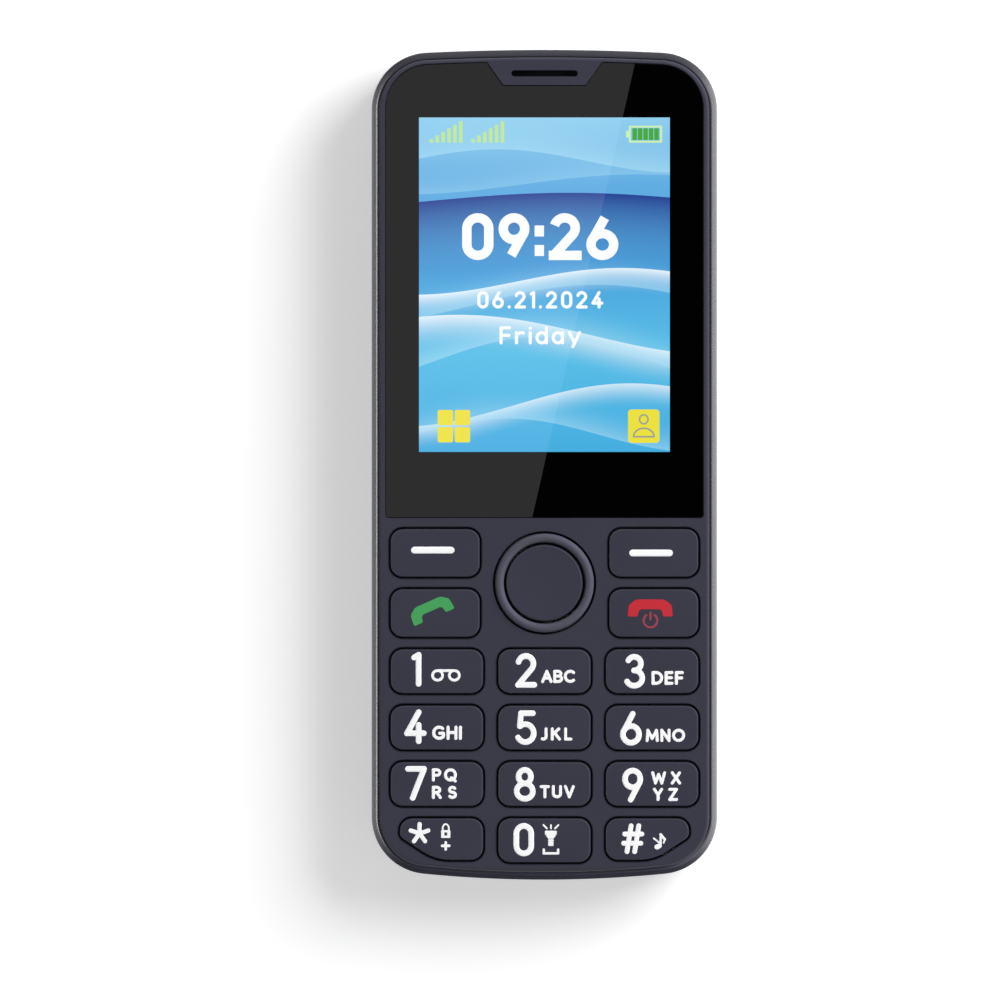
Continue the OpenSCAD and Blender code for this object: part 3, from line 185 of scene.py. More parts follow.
def key_table():
    """Each pressed key's name, centre, half sizes and outline."""
    table = {}
    for y, names in zip(FN_ROWS, (("soft_key_left", "soft_key_right"), ("call_key", "end_key"))):
        for x, name in zip((-FN_X, FN_X), names):
            table[name] = ((x, y), (FN_W / 2, FN_H / 2), rectangle(FN_W, FN_H, KEY_R, x, y))
    for y, names in zip(ROWS, ("123", "456", "789", ("star", "0", "hash"))):
        for x, name in zip((-COLUMN, 0, COLUMN), names):
            outline = rectangle(KEY_W, KEY_H, KEY_R, x, y)
            if name in ("star", "hash"):
                points, radii = slanted_corners(1 if name == "hash" else -1)
                outline = rounded([(x + px, y + py) for px, py in points], radii)
            table[f"key_{name}"] = ((x, y), (KEY_W / 2, KEY_H / 2), outline)
    return table


BODY, LENS, KEYS = body_outline(), lens_outline(), key_table()


# Profiles: heights, insets and normals along a section, walked with the solid on the left

def straight(z0, d0, z1, d1):
    """Straight stretch between two heights and insets; its normal is the walk turned to the right."""
    out, up = z1 - z0, d1 - d0
    length = sqrt(out * out + up * up)
    ends = (z0, z1), (d0, d1), (out / length,) * 2, (up / length,) * 2
    return tuple(np.array(pair, float) for pair in ends)


def round_off(z, d, r_out, r_up, a0, a1, steps=6):
    """Quarter or part of an ellipse about a height and inset; its normal is the ellipse's own."""
    a = np.radians(np.linspace(a0, a1, steps + 1))
    out, up = np.cos(a) / r_out, np.sin(a) / r_up
    length = np.hypot(out, up)
    return z + r_up * np.sin(a), d - r_out * np.cos(a), out / length, up / length


# Patches: points, faces and point normals, welded into one mesh when a piece is made

def grid(points, normals):
    """Quads of a grid of points, closed along its second way."""
    rows, columns = points.shape[:2]
    i = np.arange(rows * columns).reshape(rows, columns)
    nxt = np.roll(i, -1, axis=1)
    faces = np.stack([i[:-1], nxt[:-1], nxt[1:], i[1:]], -1).reshape(-1, 4)
    return points.reshape(-1, 3), faces, normals.reshape(-1, 3)


def carried(outline, profile, more=0.0):
    """A profile carried round an outline: the outline drawn in by each inset, and by more where that is given for
    each place, at each height, with the profile's normal leaning along the outline's facing."""
    z, inset, out, up = (column[:, None, None] for column in profile)
    face = facing(outline)[None]
    flat = outline[0][None] + (outline[1][None, :, None] - inset - more) * face
    ones = np.ones(flat.shape[:2] + (1,))
    return grid(np.concatenate([flat, z * ones], -1), np.concatenate([out * face, up * ones], -1))


def walls(outline, points, more=None):
    """Straight stretches through heights and insets, each carried round an outline, with the solid on the left."""
    more = more or [0.0] * len(points)
    return [carried(outline, straight(*start, *stop), add) for start, stop, add in zip(points, points[1:], more)]


def softened(outline, gap, lip, floor):
    """Sides of a hole in the face, a gap outside an outline: a quarter round lip and a straight wall to a floor."""
    return [carried(outline, round_off(Z_FACE - lip, -gap - lip, lip, lip, 90, 180)),
            carried(outline, straight(Z_FACE - lip, -gap, floor, -gap))]


def filled(loops, z, up):
    """Flat face at a height, cut into triangles whose sides keep to the loops; a triangle stays where its middle
    lies inside an odd number of loops."""
    flat = np.concatenate(loops)
    first = np.cumsum([0] + [len(loop) for loop in loops])
    here = [a + np.arange(len(loop)) for a, loop in zip(first, loops)]
    edges = np.concatenate([np.column_stack([row, np.roll(row, -1)]) for row in here])
    cut = delaunay_2d_cdt(flat.tolist(), edges.tolist(), [], 0, 1e-6)
    faces = np.array([twins[0] for twins in cut[3]])[np.array(cut[2])]
    x, y = flat[faces].mean(1).T[:, :, None]
    inside = np.zeros(len(faces), bool)
    for loop in loops:
        ax, ay = loop.T
        bx, by = np.roll(loop, -1, axis=0).T
        crossed = (ay > y) != (by > y)
        rise = np.where(by == ay, 1.0, by - ay)
        inside ^= (crossed & (x < ax + (bx - ax) * (y - ay) / rise)).sum(1) % 2 == 1
    points = np.column_stack([flat, np.full(len(flat), float(z))])
    return points, faces[inside], np.tile([0.0, 0.0, float(up)], (len(points), 1))


def make_mesh(name, patches, groups=None):
    """One mesh of all patches: points closer than a hundred-thousandth of a millimetre are one, faces that have
    shrunk lose a corner, each face is turned to agree with its normals, and the normals are kept per corner."""
    points = np.concatenate([patch[0] for patch in patches])
    normals = np.concatenate([patch[2] for patch in patches])
    starts = np.cumsum([0] + [len(patch[0]) for patch in patches])
    rows = np.concatenate([np.pad(faces, ((0, 0), (0, 4 - faces.shape[1])), mode="edge") + start
                           for (_, faces, _), start in zip(patches, starts)])
    material = np.repeat(groups or [0] * len(patches), [len(patch[1]) for patch in patches])
    across = np.cross(points[rows[:, 2]] - points[rows[:, 0]], points[rows[:, 3]] - points[rows[:, 1]])
    turned_round = (across * normals[rows].mean(1)).sum(-1) < 0
    rows[turned_round] = rows[turned_round, ::-1]
    _, first, same = np.unique(np.round(points * 1e5).astype(np.int64), axis=0, return_index=True,
                               return_inverse=True)
    joined = same.reshape(-1)[rows]
    kept = joined != np.roll(joined, 1, axis=1)
    kept &= (kept.sum(1) > 2)[:, None]
    sides = kept.sum(1)[kept.any(1)]
    mesh = bpy.data.meshes.new(name)
    mesh.vertices.add(len(first))
    mesh.loops.add(int(kept.sum()))
    mesh.polygons.add(len(sides))
    mesh.vertices.foreach_set("co", (points[first] * MM).ravel())
    mesh.loops.foreach_set("vertex_index", joined[kept])
    mesh.polygons.foreach_set("loop_start", np.cumsum(sides) - sides)
    mesh.polygons.foreach_set("material_index", material[kept.any(1)])
    mesh.update(calc_edges=True)
    mesh.normals_split_custom_set(normals[rows[kept]].tolist())
    return mesh


def make_piece(name, patches, body, materials, replaced=(), groups=None):
    """A piece of the phone: its mesh, its materials, the body it rides on and the nodes it stands for."""
    piece = bpy.data.objects.new(name, make_mesh(name, patches, groups))
    for material in materials:
        piece.data.materials.append(material)
    bpy.context.scene.collection.objects.link(piece)
    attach(piece, body)
    if replaced:
        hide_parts(*replaced)


# Materials: shader nodes, the two effects that several finishes share, and the finishes

def feed(taker, inputs):
    """Feeds a node's inputs, by name or number, from sockets or with plain values."""
    for key, value in inputs.items():
        if hasattr(value, "is_linked"):
            taker.id_data.links.new(value, taker.inputs[key])
        else:
            taker.inputs[key].default_value = value


def node(tree, kind, inputs=None, **settings):
    """New node with its settings, and with its inputs fed."""
    made = tree.nodes.new(kind)
    for name, value in settings.items():
        setattr(made, name, value)
    feed(made, inputs or {})
    return made


def tree_of(*values):
    """The tree of the first socket among sockets and plain values."""
    return next(value.id_data for value in values if hasattr(value, "is_linked"))


def mixed(kind, a, b, factor=1.0):
    """Colour mix of two sockets or colours."""
    settings = {"data_type": "RGBA", "blend_type": kind}
    return node(tree_of(a, b, factor), "ShaderNodeMix", {6: a, 7: b, 0: factor}, **settings).outputs[2]


def sums(operation, *values, kind="ShaderNodeMath"):
    """Math on sockets or numbers, or on vectors when the kind says so."""
    made = node(tree_of(*values), kind, dict(enumerate(values)), operation=operation)
    return made.outputs["Value" if operation == "LENGTH" else 0]


def eased(value, start, stop, first, last):
    """Smooth passage from a first to a last value between two places."""
    inputs = {"Value": value, "From Min": start, "From Max": stop, "To Min": first, "To Max": last}
    return node(tree_of(value), "ShaderNodeMapRange", inputs, interpolation_type="SMOOTHSTEP").outputs[0]


def ramp(factor, stops):
    """Colours at their places along a factor, blended between them."""
    made = node(tree_of(factor), "ShaderNodeValToRGB", {"Fac": factor})
    points = made.color_ramp.elements
    while len(points) < len(stops):
        points.new(1.0)
    for point, (place, colour) in zip(points, stops):
        point.position = place
        point.color = (*colour, 1)
    return made.outputs["Color"]


def place_on(tree, kind="Object"):
    """Place on the piece, or the way that the world is seen, as a vector."""
    return node(tree, "ShaderNodeTexCoord").outputs[kind]


def parts_of(vector):
    """A vector's three parts, by name."""
    return node(tree_of(vector), "ShaderNodeSeparateXYZ", {0: vector}).outputs


def group(name, inputs, outputs):
    """Empty shader node group with named inputs and outputs, and its two end nodes."""
    tree = bpy.data.node_groups.new(name, "ShaderNodeTree")
    for label, value in inputs.items():
        socket = tree.interface.new_socket(name=label, in_out="INPUT", socket_type="NodeSocketFloat")
        socket.default_value = value
    for label in outputs:
        tree.interface.new_socket(name=label, in_out="OUTPUT", socket_type="NodeSocketFloat")
    return tree, tree.nodes.new("NodeGroupInput"), tree.nodes.new("NodeGroupOutput")


def moulded_grain():
    """Fine even grain of a moulded surface, slow cloudy shading from the flow of the plastic, and a roughness that
    both of them stir about its middle value."""
    tree, inside, out = group("moulded_grain", {"Scale": 6000.0, "Cloud": 0.06, "Polish": 0.5},
                              ("Height", "Shade", "Rough"))
    scale, cloud, polish = inside.outputs[:3]
    where, slow_scale, fine_stir, slow_stir = place_on(tree), 90.0, 0.12, 0.16
    noises = [node(tree, "ShaderNodeTexNoise", {"Vector": where, "Scale": size, "Detail": detail})
              for size, detail in ((scale, 3.0), (slow_scale, 4.0))]
    fine, slow = (noise.outputs["Fac"] for noise in noises)
    around = sums("MULTIPLY", sums("SUBTRACT", slow, 0.5), cloud)
    both = sums("ADD", sums("MULTIPLY", fine, fine_stir), sums("MULTIPLY", slow, slow_stir))
    stirred = sums("SUBTRACT", both, (fine_stir + slow_stir) / 2)
    feed(out, {"Height": fine, "Shade": sums("ADD", around, 1.0), "Rough": sums("ADD", stirred, polish)})
    return tree


def ribbon_mask():
    """Fold along a swinging line: one at the line, falling off smoothly on one side to nothing at the width, and
    cut off at once on the other; a negative width turns the fold over."""
    tree, inside, out = group("ribbon_mask", {"Across": 0.0, "Up": 0.0, "Level": 0.0, "Swing": 0.2, "Turns": 2.0,
                                              "Phase": 0.0, "Width": 0.1}, ["Mask"])
    across, up, level, swing, turns, phase, width = inside.outputs[:7]
    turn = sums("MULTIPLY_ADD", across, turns, phase)
    line = sums("MULTIPLY_ADD", sums("SINE", turn), swing, level)
    share = sums("DIVIDE", sums("SUBTRACT", up, line), width)
    fall = sums("SUBTRACT", 1.0, sums("MINIMUM", share, 1.0))
    here = sums("GREATER_THAN", share, 0.0)
    feed(out, {"Mask": sums("MULTIPLY", sums("MULTIPLY", fall, fall), here)})
    return tree


GRAIN, RIBBON = moulded_grain(), ribbon_mask()


def principled(name, rough, metallic=0.0, specular=0.5):
    """New material, its tree and its shader."""
    material = bpy.data.materials.new(name)
    material.use_nodes = True
    tree = material.node_tree
    shader = tree.nodes["Principled BSDF"]
    feed(shader, {"Roughness": rough, "Metallic": metallic, "Specular IOR Level": specular})
    return material, tree, shader


def moulded(name, colour, rough, scale=6000.0, cloud=0.06, depth=0.02, glow=0.0, **more):
    """Plastic, rubber or coated finish: its colour with the grain's slow shading, and the grain as a bump. A
    sign given a glow also gives off its own colour, partly as a backlight and partly as painted light that
    brightens it."""
    material, tree, shader = principled(name, rough, **more)
    grain = node(tree, "ShaderNodeGroup", node_tree=GRAIN)
    feed(grain, {"Scale": scale, "Cloud": cloud, "Polish": rough})
    shaded = mixed("MULTIPLY", (*colour, 1), grain.outputs["Shade"])
    feed(shader, {"Base Color": shaded})
    if glow:
        feed(shader, {"Emission Color": shaded, "Emission Strength": glow})
    if depth:
        bump = node(tree, "ShaderNodeBump", {"Strength": depth, "Distance": 0.1 * MM,
                                             "Height": grain.outputs["Height"]})
        feed(shader, {"Roughness": grain.outputs["Rough"], "Normal": bump.outputs["Normal"]})
    return material


def ink(name, colour, **more):
    """Printed ink, with a coarser grain than the plastic that it lies on."""
    return moulded(name, colour, 0.5, scale=3000.0, **more)


def metal(name, colour):
    """Thin metal with a fine rolled grain."""
    return moulded(name, colour, 0.3, scale=5000.0, metallic=1.0)


def glowing(name):
    """Black glass that gives off a colour still to be fed."""
    material, tree, shader = principled(name, 0.0)
    feed(shader, {"Base Color": (0, 0, 0, 1), "Emission Strength": 1.0})
    return material, tree, shader


def lit(name, colour):
    """Lit sign on the screen, a little uneven as a backlight is."""
    material, tree, shader = glowing(name)
    grain = node(tree, "ShaderNodeGroup", node_tree=GRAIN)
    feed(grain, {"Scale": 400.0})
    feed(shader, {"Emission Color": mixed("MULTIPLY", (*colour, 1), grain.outputs["Shade"])})
    return material


def wallpaper():
    """Screen background of flowing ribbons: a shade from pale blue down to turquoise, crossed by one broad deep
    blue ribbon and several thin pale ones, each a band about a swinging line."""
    material, tree, shader = glowing("screen_wallpaper")
    where = parts_of(place_on(tree))
    across = sums("DIVIDE", where["X"], SCREEN_X * MM)
    up = sums("DIVIDE", sums("SUBTRACT", where["Y"], SCREEN_Y * MM), SCREEN_H / 2 * MM)
    share = sums("MULTIPLY_ADD", up, 0.5, 0.5)
    colour = ramp(share, [(0.0, (0.06, 0.42, 0.74)), (0.3, (0.10, 0.52, 0.80)), (0.55, (0.07, 0.36, 0.72)),
                          (0.8, (0.12, 0.42, 0.76)), (1.0, (0.28, 0.62, 0.86))])
    deep, pale, white = (0.022, 0.055, 0.30), (0.40, 0.74, 0.92), (0.88, 0.96, 1.0)
    # Each ribbon's shade, level, swing, turns, phase, width and strength
    ribbons = ((pale, 0.74, 0.07, 2.2, 2.4, 0.34, 0.6), (pale, 0.60, 0.06, 1.7, 0.3, 0.2, 0.35),
               (deep, 0.50, 0.05, 1.4, 1.3, -0.62, 1.0), (white, 0.02, 0.08, 1.9, 0.4, -0.16, 0.95),
               (pale, -0.12, 0.12, 1.6, 0.9, 0.2, 0.5), (white, -0.30, 0.12, 1.5, 2.6, -0.22, 0.85),
               (pale, -0.46, 0.15, 1.8, 1.6, 0.24, 0.55), (white, -0.72, 0.13, 1.7, 0.4, -0.15, 0.7),
               (pale, -0.90, 0.10, 2.1, 2.2, 0.2, 0.5))
    for shade, level, swing, turns, phase, width, strength in ribbons:
        band = node(tree, "ShaderNodeGroup", node_tree=RIBBON)
        feed(band, {"Across": across, "Up": up, "Level": level, "Swing": swing, "Turns": turns, "Phase": phase,
                    "Width": width})
        colour = mixed("MIX", colour, (*shade, 1), sums("MULTIPLY", band.outputs["Mask"], strength))
    feed(shader, {"Emission Color": colour})
    return material


def camera_finish():
    """Dark glass with the lens behind it: pupil, coated ring, barrel, bright rim and black mask by distance from
    the middle of the window."""
    material, tree, shader = principled("camera_glass", 0.03)
    low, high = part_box("camera_window")
    middle = ((low[0] + high[0]) / 2, (low[1] + high[1]) / 2, 0)
    vectors = {"kind": "ShaderNodeVectorMath"}
    flat = sums("MULTIPLY", sums("SUBTRACT", place_on(tree), middle, **vectors), (1, 1, 0), **vectors)
    share = sums("DIVIDE", sums("LENGTH", flat, **vectors), (high[0] - low[0]) / 2)
    black, coat, barrel, rim = (0.002, 0.002, 0.003), (0.02, 0.03, 0.09), (0.012, 0.012, 0.013), (0.30, 0.30, 0.31)
    rings = [(0.0, black), (0.22, black), (0.25, coat), (0.34, coat), (0.36, barrel), (0.56, barrel), (0.58, rim),
             (0.64, rim), (0.66, black)]
    feed(shader, {"Base Color": ramp(share, rings)})
    return material


def band_finish():
    """Gunmetal plating along the two long sides, which fades into a dull slate round the ends, wholly at the
    bottom one. The slate carries painted shade that makes it half as bright at the top end, and painted light that
    brightens it towards the closed seam at the bottom."""
    material = moulded("gunmetal_band", (0.062, 0.062, 0.084), 0.26, scale=9000.0, specular=0.0)
    shader = material.node_tree.nodes["Principled BSDF"]
    # dark is the painted shade of the top end's slate; pale, below and above set the painted light by the bottom
    # seam: how much it brightens the slate, and the heights under and over the band's top between which it grows.
    gloss, dark, pale, below, above = 0.92, (0.5, 0.5, 0.5, 1), 1.2, 0.22, 0.02
    where = parts_of(place_on(material.node_tree))
    top, bottom = (eased(where["Y"], end * FADE_START * MM, end * FADE_END * MM, 1.0, left)
                   for end, left in ((1, 0.1), (-1, 0.0)))
    plated = sums("MULTIPLY", top, bottom)
    slate = shader.inputs["Base Color"].links[0].from_socket
    # Painted shade: the slate is darkened towards the top end.
    slate = mixed("MULTIPLY", slate, mixed("MIX", dark, (1, 1, 1, 1), top))
    # Painted light: the slate is brightened near the band's top round the bottom end, where the seam's shade falls.
    near = eased(where["Z"], (Z_TRIM_TOP - below) * MM, (Z_TRIM_TOP + above) * MM, 0.0, 1.0)
    seam_painted_light = sums("MULTIPLY", sums("SUBTRACT", 1.0, bottom), near)
    slate = mixed("MULTIPLY", slate, sums("MULTIPLY_ADD", seam_painted_light, pale, 1.0))
    feed(shader, {"Base Color": mixed("MIX", slate, (0.28, 0.28, 0.295, 1), plated),
                  "Metallic": sums("MULTIPLY", plated, gloss)})
    return material


casing = moulded("slate_casing", (0.0475, 0.0475, 0.073), 0.55, specular=0.3)
key_skin = moulded("slate_key", (0.0475, 0.0475, 0.0735), 0.45, specular=0.4)
# Painted shade: a darker slate on the sides of the keys' holes and on the keys' own sides, standing in for the
# shade in the gaps round the keys.
gap_painted_shade = moulded("gap_painted_shade", (0.024, 0.022, 0.038), 0.6, specular=0.2)
gunmetal = band_finish()
ring_skin = moulded("slate_ring", (0.098, 0.098, 0.135), 0.5, specular=0.22)
black_glass = moulded("black_lens", (0.0004, 0.0004, 0.0005), 0.0, depth=0.0)
# The white print glows a little: partly a keypad backlight, partly painted light that brightens the print.
white_ink = ink("white_ink", (0.95, 0.95, 0.95), cloud=0.03, glow=0.2)
green_ink = ink("green_ink", (0.070, 0.42, 0.12))
red_ink = ink("red_ink", (0.68, 0.028, 0.045))
dark_red_ink = ink("dark_red_ink", (0.36, 0.06, 0.09))
screen_picture = wallpaper()
lit_white = lit("lit_white", (0.97, 0.99, 1.0))
lit_pale_green = lit("lit_pale_green", (0.52, 0.80, 0.30))
lit_green = lit("lit_green", (0.07, 0.40, 0.04))
lit_lime = lit("lit_lime", (0.62, 0.88, 0.42))
lit_yellow = lit("lit_yellow", (0.85, 0.76, 0.05))
lit_grey = lit("lit_grey", (0.32, 0.36, 0.30))


# Casing and band

def front_case():
    """Plate with a rounded rim, softened holes for lens, slot, keys and rocker, and a short wall below; with it,
    the groups of its patches, of which the sides of the keys' holes are the second, which takes the painted shade
    of the gaps."""
    outer_in, inner_in = TRIM_LEAN + SEAM_W, WALL_T + FIT
    window = rectangle(2 * (SCREEN_X + WINDOW_MARGIN), SCREEN_H + 2 * WINDOW_MARGIN, WINDOW_R, 0, SCREEN_Y)
    slot = rectangle(SLOT_W, SLOT_H, SLOT_H / 2 - 0.01, 0, Y_SLOT, 10)
    holes = [(circle(0, Y_NAV, NAV_R), NAV_GAP, LIP), (slot, 0.0, LIP)]
    holes += [(outline, KEY_GAP, KEY_LIP) for _, _, outline in KEYS.values()]
    wall = [(Z_PLATE, inner_in), (Z_SEAT, inner_in), (Z_SEAT, outer_in), (Z_FACE - EDGE_R, outer_in)]
    patches = [
        *walls(BODY, wall),
        carried(BODY, round_off(Z_FACE - EDGE_R, outer_in + EDGE_R, EDGE_R, EDGE_R, 0, 90, 10)),
        *softened(LENS, LENS_FIT, LENS_LIP, Z_LEDGE),
        carried(window, straight(Z_LEDGE, 0, Z_PLATE, 0)),
        filled([drawn_in(LENS, -LENS_FIT), drawn_in(window, 0)], Z_LEDGE, 1),
        filled([drawn_in(BODY, outer_in + EDGE_R), drawn_in(LENS, -LENS_FIT - LENS_LIP)]
               + [drawn_in(outline, -gap - lip) for outline, gap, lip in holes], Z_FACE, 1),
        filled([drawn_in(BODY, inner_in), drawn_in(window, 0)]
               + [drawn_in(outline, -gap) for outline, gap, _ in holes], Z_PLATE, -1),
    ]
    for outline, gap, lip in holes:
        patches += softened(outline, gap, lip, Z_PLATE)
    gap_shade_patches = 2 * len(KEYS)
    return patches, [0] * (len(patches) - gap_shade_patches) + [1] * gap_shade_patches


def trim_band():
    """Band whose outside leans in along a quarter ellipse, with a ledge inside for the front casing. Round the
    bottom end the ledge's edge comes in, along a smooth step, until the seam is all but closed."""
    seat = TRIM_LEAN + FIT / 2
    share = np.clip((-FADE_START - drawn_in(BODY, 0)[:, 1]) / (FADE_END - FADE_START), 0, 1)
    closed = (share * share * (3 - 2 * share) * (SEAM_W - FIT / 2 - SEAM_LEFT))[None, :, None]
    inner = np.concatenate([0 * closed, closed])
    points = [(Z_TRIM_TOP, TRIM_LEAN), (Z_TRIM_TOP, seat), (Z_SEAT, seat), (Z_SEAT, WALL_T), (Z_SPLIT, WALL_T),
              (Z_SPLIT, 0)]
    outside = carried(BODY, round_off(Z_SPLIT, TRIM_LEAN, TRIM_LEAN, TRIM_H, 0, 90, 16))
    return [outside] + walls(BODY, points, [inner, closed, inner[::-1], 0.0, 0.0])


shell, shell_groups = front_case()
make_piece("front_shell", shell, "phone", [casing, gap_painted_shade], ["front_case"], shell_groups)
make_piece("side_band", trim_band(), "phone", [gunmetal], ["trim_band"])


# Lens, with the lit screen as a face of its own

def lens():
    """Flush lens with a softened edge; the lit window is a face of its own in the middle of its top."""
    soft = LENS_LIP
    window = drawn_in(rectangle(2 * SCREEN_X, SCREEN_H, 0.02, 0, SCREEN_Y, 1), 0)
    return [
        carried(LENS, straight(Z_LENS, 0, Z_FACE - soft, 0)),
        carried(LENS, round_off(Z_FACE - soft, soft, soft, soft, 0, 90)),
        filled([drawn_in(LENS, soft), window], Z_FACE, 1),
        filled([drawn_in(LENS, 0)], Z_LENS, -1),
        filled([window], Z_FACE, 1),
    ]


make_piece("lens_glass", lens(), "phone", [black_glass, screen_picture], ["lens"], [0, 0, 0, 0, 1])


# Strokes for figures and letters, in a box one unit high: a pair is a point, and six numbers are an arc's centre,
# its two radii and the angles that it runs between

STEM = [(0, 0), (0, 1)]
STROKES = {
    "0": [[(0, .28), (0, .72), (.27, .72, .27, .28, 180, 0), (.54, .28), (.27, .28, .27, .28, 0, -180)]],
    "1": [[(.02, .91), (.17, 1)], [(.17, 1), (.17, 0)]],
    "2": [[(.27, .73, .26, .27, 165, -38), (0, 0)], [(0, 0), (.56, 0)]],
    "3": [[(.25, .765, .23, .235, 150, -90)], [(.25, .265, .28, .265, 90, -152)]],
    "4": [[(.4, 1), (0, .27)], [(0, .27), (.58, .27)], [(.4, .56), (.4, 0)]],
    "5": [[(.5, 1), (.09, 1)], [(.09, 1), (.05, .56)], [(.24, .31, .29, .31, 128, -150)]],
    "6": [[(.34, 1), (.05, .44)], [(.28, .29, .28, .29, 0, 360)]],
    "7": [[(0, 1), (.55, 1)], [(.55, 1), (.16, 0)]],
    "8": [[(.28, .765, .215, .235, 0, 360)], [(.28, .265, .28, .265, 0, 360)]],
    "9": [[(.2, 0), (.49, .56)], [(.265, .71, .265, .29, 0, 360)]],
    "*": [[(.33, .52), tip] for tip in ((.33, 1), (.78, .67), (.61, .13), (.05, .13), (-.12, .67))],
    "#": [[(.12, 0), (.28, 1)], [(.42, 0), (.58, 1)], [(0, .32), (.66, .32)], [(.04, .68), (.7, .68)]],
    ":": [[(0, .12), (0, .14)], [(0, .64), (0, .66)]],
    ".": [[(0, 0), (0, .01)]],
    "A": [[(0, 0), (.35, 1)], [(.35, 1), (.7, 0)], [(.13, .33), (.57, .33)]],
    "B": [STEM, [(0, 1), (.28, 1), (.28, .765, .24, .235, 90, -90), (0, .53)],
          [(0, .53), (.3, .53), (.3, .265, .28, .265, 90, -90), (0, 0)]],
    "C": [[(.42, .5, .42, .5, 48, 312)]],
    "D": [STEM, [(0, 1), (.24, 1), (.24, .5, .44, .5, 90, -90), (0, 0)]],
    "E": [STEM, [(0, 1), (.46, 1)], [(0, .52), (.42, .52)], [(0, 0), (.46, 0)]],
    "F": [STEM, [(0, 1), (.46, 1)], [(0, .5), (.42, .5)]],
    "G": [[(.42, .5, .42, .5, 50, 318)], [(.74, .14), (.76, .46)], [(.76, .46), (.48, .46)]],
    "H": [STEM, [(.6, 0), (.6, 1)], [(0, .52), (.6, .52)]],
    "I": [STEM],
    "J": [[(.36, 1), (.36, .26), (.14, .26, .22, .26, 0, -115)]],
    "K": [STEM, [(.55, 1), (0, .42)], [(.2, .6), (.6, 0)]],
    "L": [STEM[::-1], [(0, 0), (.44, 0)]],
    "M": [[(0, 0), (.06, 1)], [(.06, 1), (.42, .2)], [(.42, .2), (.78, 1)], [(.78, 1), (.84, 0)]],
    "N": [STEM, [(0, 1), (.6, 0)], [(.6, 0), (.6, 1)]],
    "O": [[(.42, .5, .42, .5, 0, 360)]],
    "P": [STEM, [(0, 1), (.28, 1), (.28, .735, .26, .265, 90, -90), (0, .47)]],
    "Q": [[(.42, .5, .42, .5, 0, 360)], [(.5, .22), (.82, -.1)]],
    "R": [STEM, [(0, 1), (.28, 1), (.28, .745, .25, .255, 90, -90), (0, .49)], [(.28, .49), (.58, 0)]],
    "S": [[(.27, .755, .24, .245, 35, 270)], [(.27, .255, .26, .255, 90, -145)]],
    "T": [[(0, 1), (.6, 1)], [(.3, 1), (.3, 0)]],
    "U": [[(0, 1), (0, .3), (.3, .3, .3, .3, 180, 360), (.6, 1)]],
    "V": [[(0, 1), (.33, 0)], [(.33, 0), (.66, 1)]],
    "W": [[(0, 1), (.24, 0)], [(.24, 0), (.5, .85)], [(.5, .85), (.76, 0)], [(.76, 0), (1, 1)]],
    "X": [[(0, 0), (.6, 1)], [(0, 1), (.6, 0)]],
    "Y": [[(0, 1), (.3, .46)], [(.6, 1), (.3, .46)], [(.3, .46), (.3, 0)]],
    "Z": [[(0, 1), (.56, 1)], [(.56, 1), (0, 0)], [(0, 0), (.56, 0)]],
    "a": [[(.25, .34, .25, .34, 0, 360)], [(.5, 0), (.5, .68)]],
    "d": [[(.25, .34, .25, .34, 0, 360)], [(.5, 0), (.5, 1)]],
    "i": [[(0, 0), (0, .68)], [(0, .96), (0, .97)]],
    "r": [[(0, 0), (0, .68)], [(.26, .4, .26, .28, 175, 65)]],
    "y": [[(0, .68), (.27, .02)], [(.54, .68), (.18, -.26)]],
}


def path_points(parts):
    """Points of one stroke, with every arc drawn out in steps of about twelve degrees."""
    rows = []
    for part in parts:
        if len(part) == 2:
            rows.append(np.array([part], float))
        else:
            x, y, rx, ry, a0, a1 = part
            a = np.radians(np.linspace(a0, a1, max(5, int(abs(a1 - a0) / 12))))
            rows.append(np.column_stack([x + rx * np.cos(a), y + ry * np.sin(a)]))
    points = np.concatenate(rows)
    step = np.linalg.norm(np.diff(points, axis=0), axis=1)
    return points[np.concatenate([[True], step > 1e-6])]


def ribbon(path, width, surface, lift, blunt=False):
    """Low ribbon along a path: across it rises in a low arch as wide as the stroke, past each end its width falls
    along a half circle or, when blunt, at once, half a width further on where it runs level or upright, and it
    stands on the surface, a height for each place."""
    apart = 0.4
    closed = np.allclose(path[0], path[-1])
    path = np.concatenate([path, path[1:3]]) if closed else path
    along = np.concatenate([[0], np.cumsum(np.linalg.norm(np.diff(path, axis=0), axis=1))])
    stations = np.unique(np.concatenate([along, np.linspace(0, along[-1], 2 + int(along[-1] / apart))]).round(4))
    path = np.column_stack([np.interp(stations, along, path[:, 0]), np.interp(stations, along, path[:, 1])])
    ends = np.radians([90.0]) if blunt else np.radians(np.linspace(90, 15, 6))
    tangent = unit(np.gradient(path, axis=0))
    reach = np.concatenate([-np.sin(ends), np.zeros(len(path)), np.sin(ends[::-1])]) * width / 2
    half = np.concatenate([np.cos(ends), np.ones(len(path)), np.cos(ends[::-1])]) * width / 2
    if blunt:
        further = [width / 2 * (not closed and abs(t).min() < 0.05) for t in (tangent[0], tangent[-1])]
        reach[:2], reach[-2:] = -further[0], further[1]
    count = [len(ends) + 1] + [1] * (len(path) - 2) + [len(ends) + 1]
    place, along = np.repeat(path, count, axis=0), np.repeat(tangent, count, axis=0)
    middle = place + along * reach[:, None]
    side = np.stack([along[:, 1], -along[:, 0]], -1)
    a = np.radians(np.linspace(0, 180, 9))
    flat = middle[:, None] + side[:, None] * (half[:, None] * np.cos(a))[..., None]
    height = surface(flat[..., 0], flat[..., 1]) - SINK
    height = height + (lift + SINK) * np.sqrt(np.sin(a).clip(0)) * np.sqrt(half / half.max())[:, None]
    lean = side[:, None] * (np.cos(a) ** 5)[None, :, None]
    normals = unit(np.concatenate([lean, np.ones(lean.shape[:2] + (1,))], -1))
    return grid(np.concatenate([flat, height[..., None]], -1), normals)


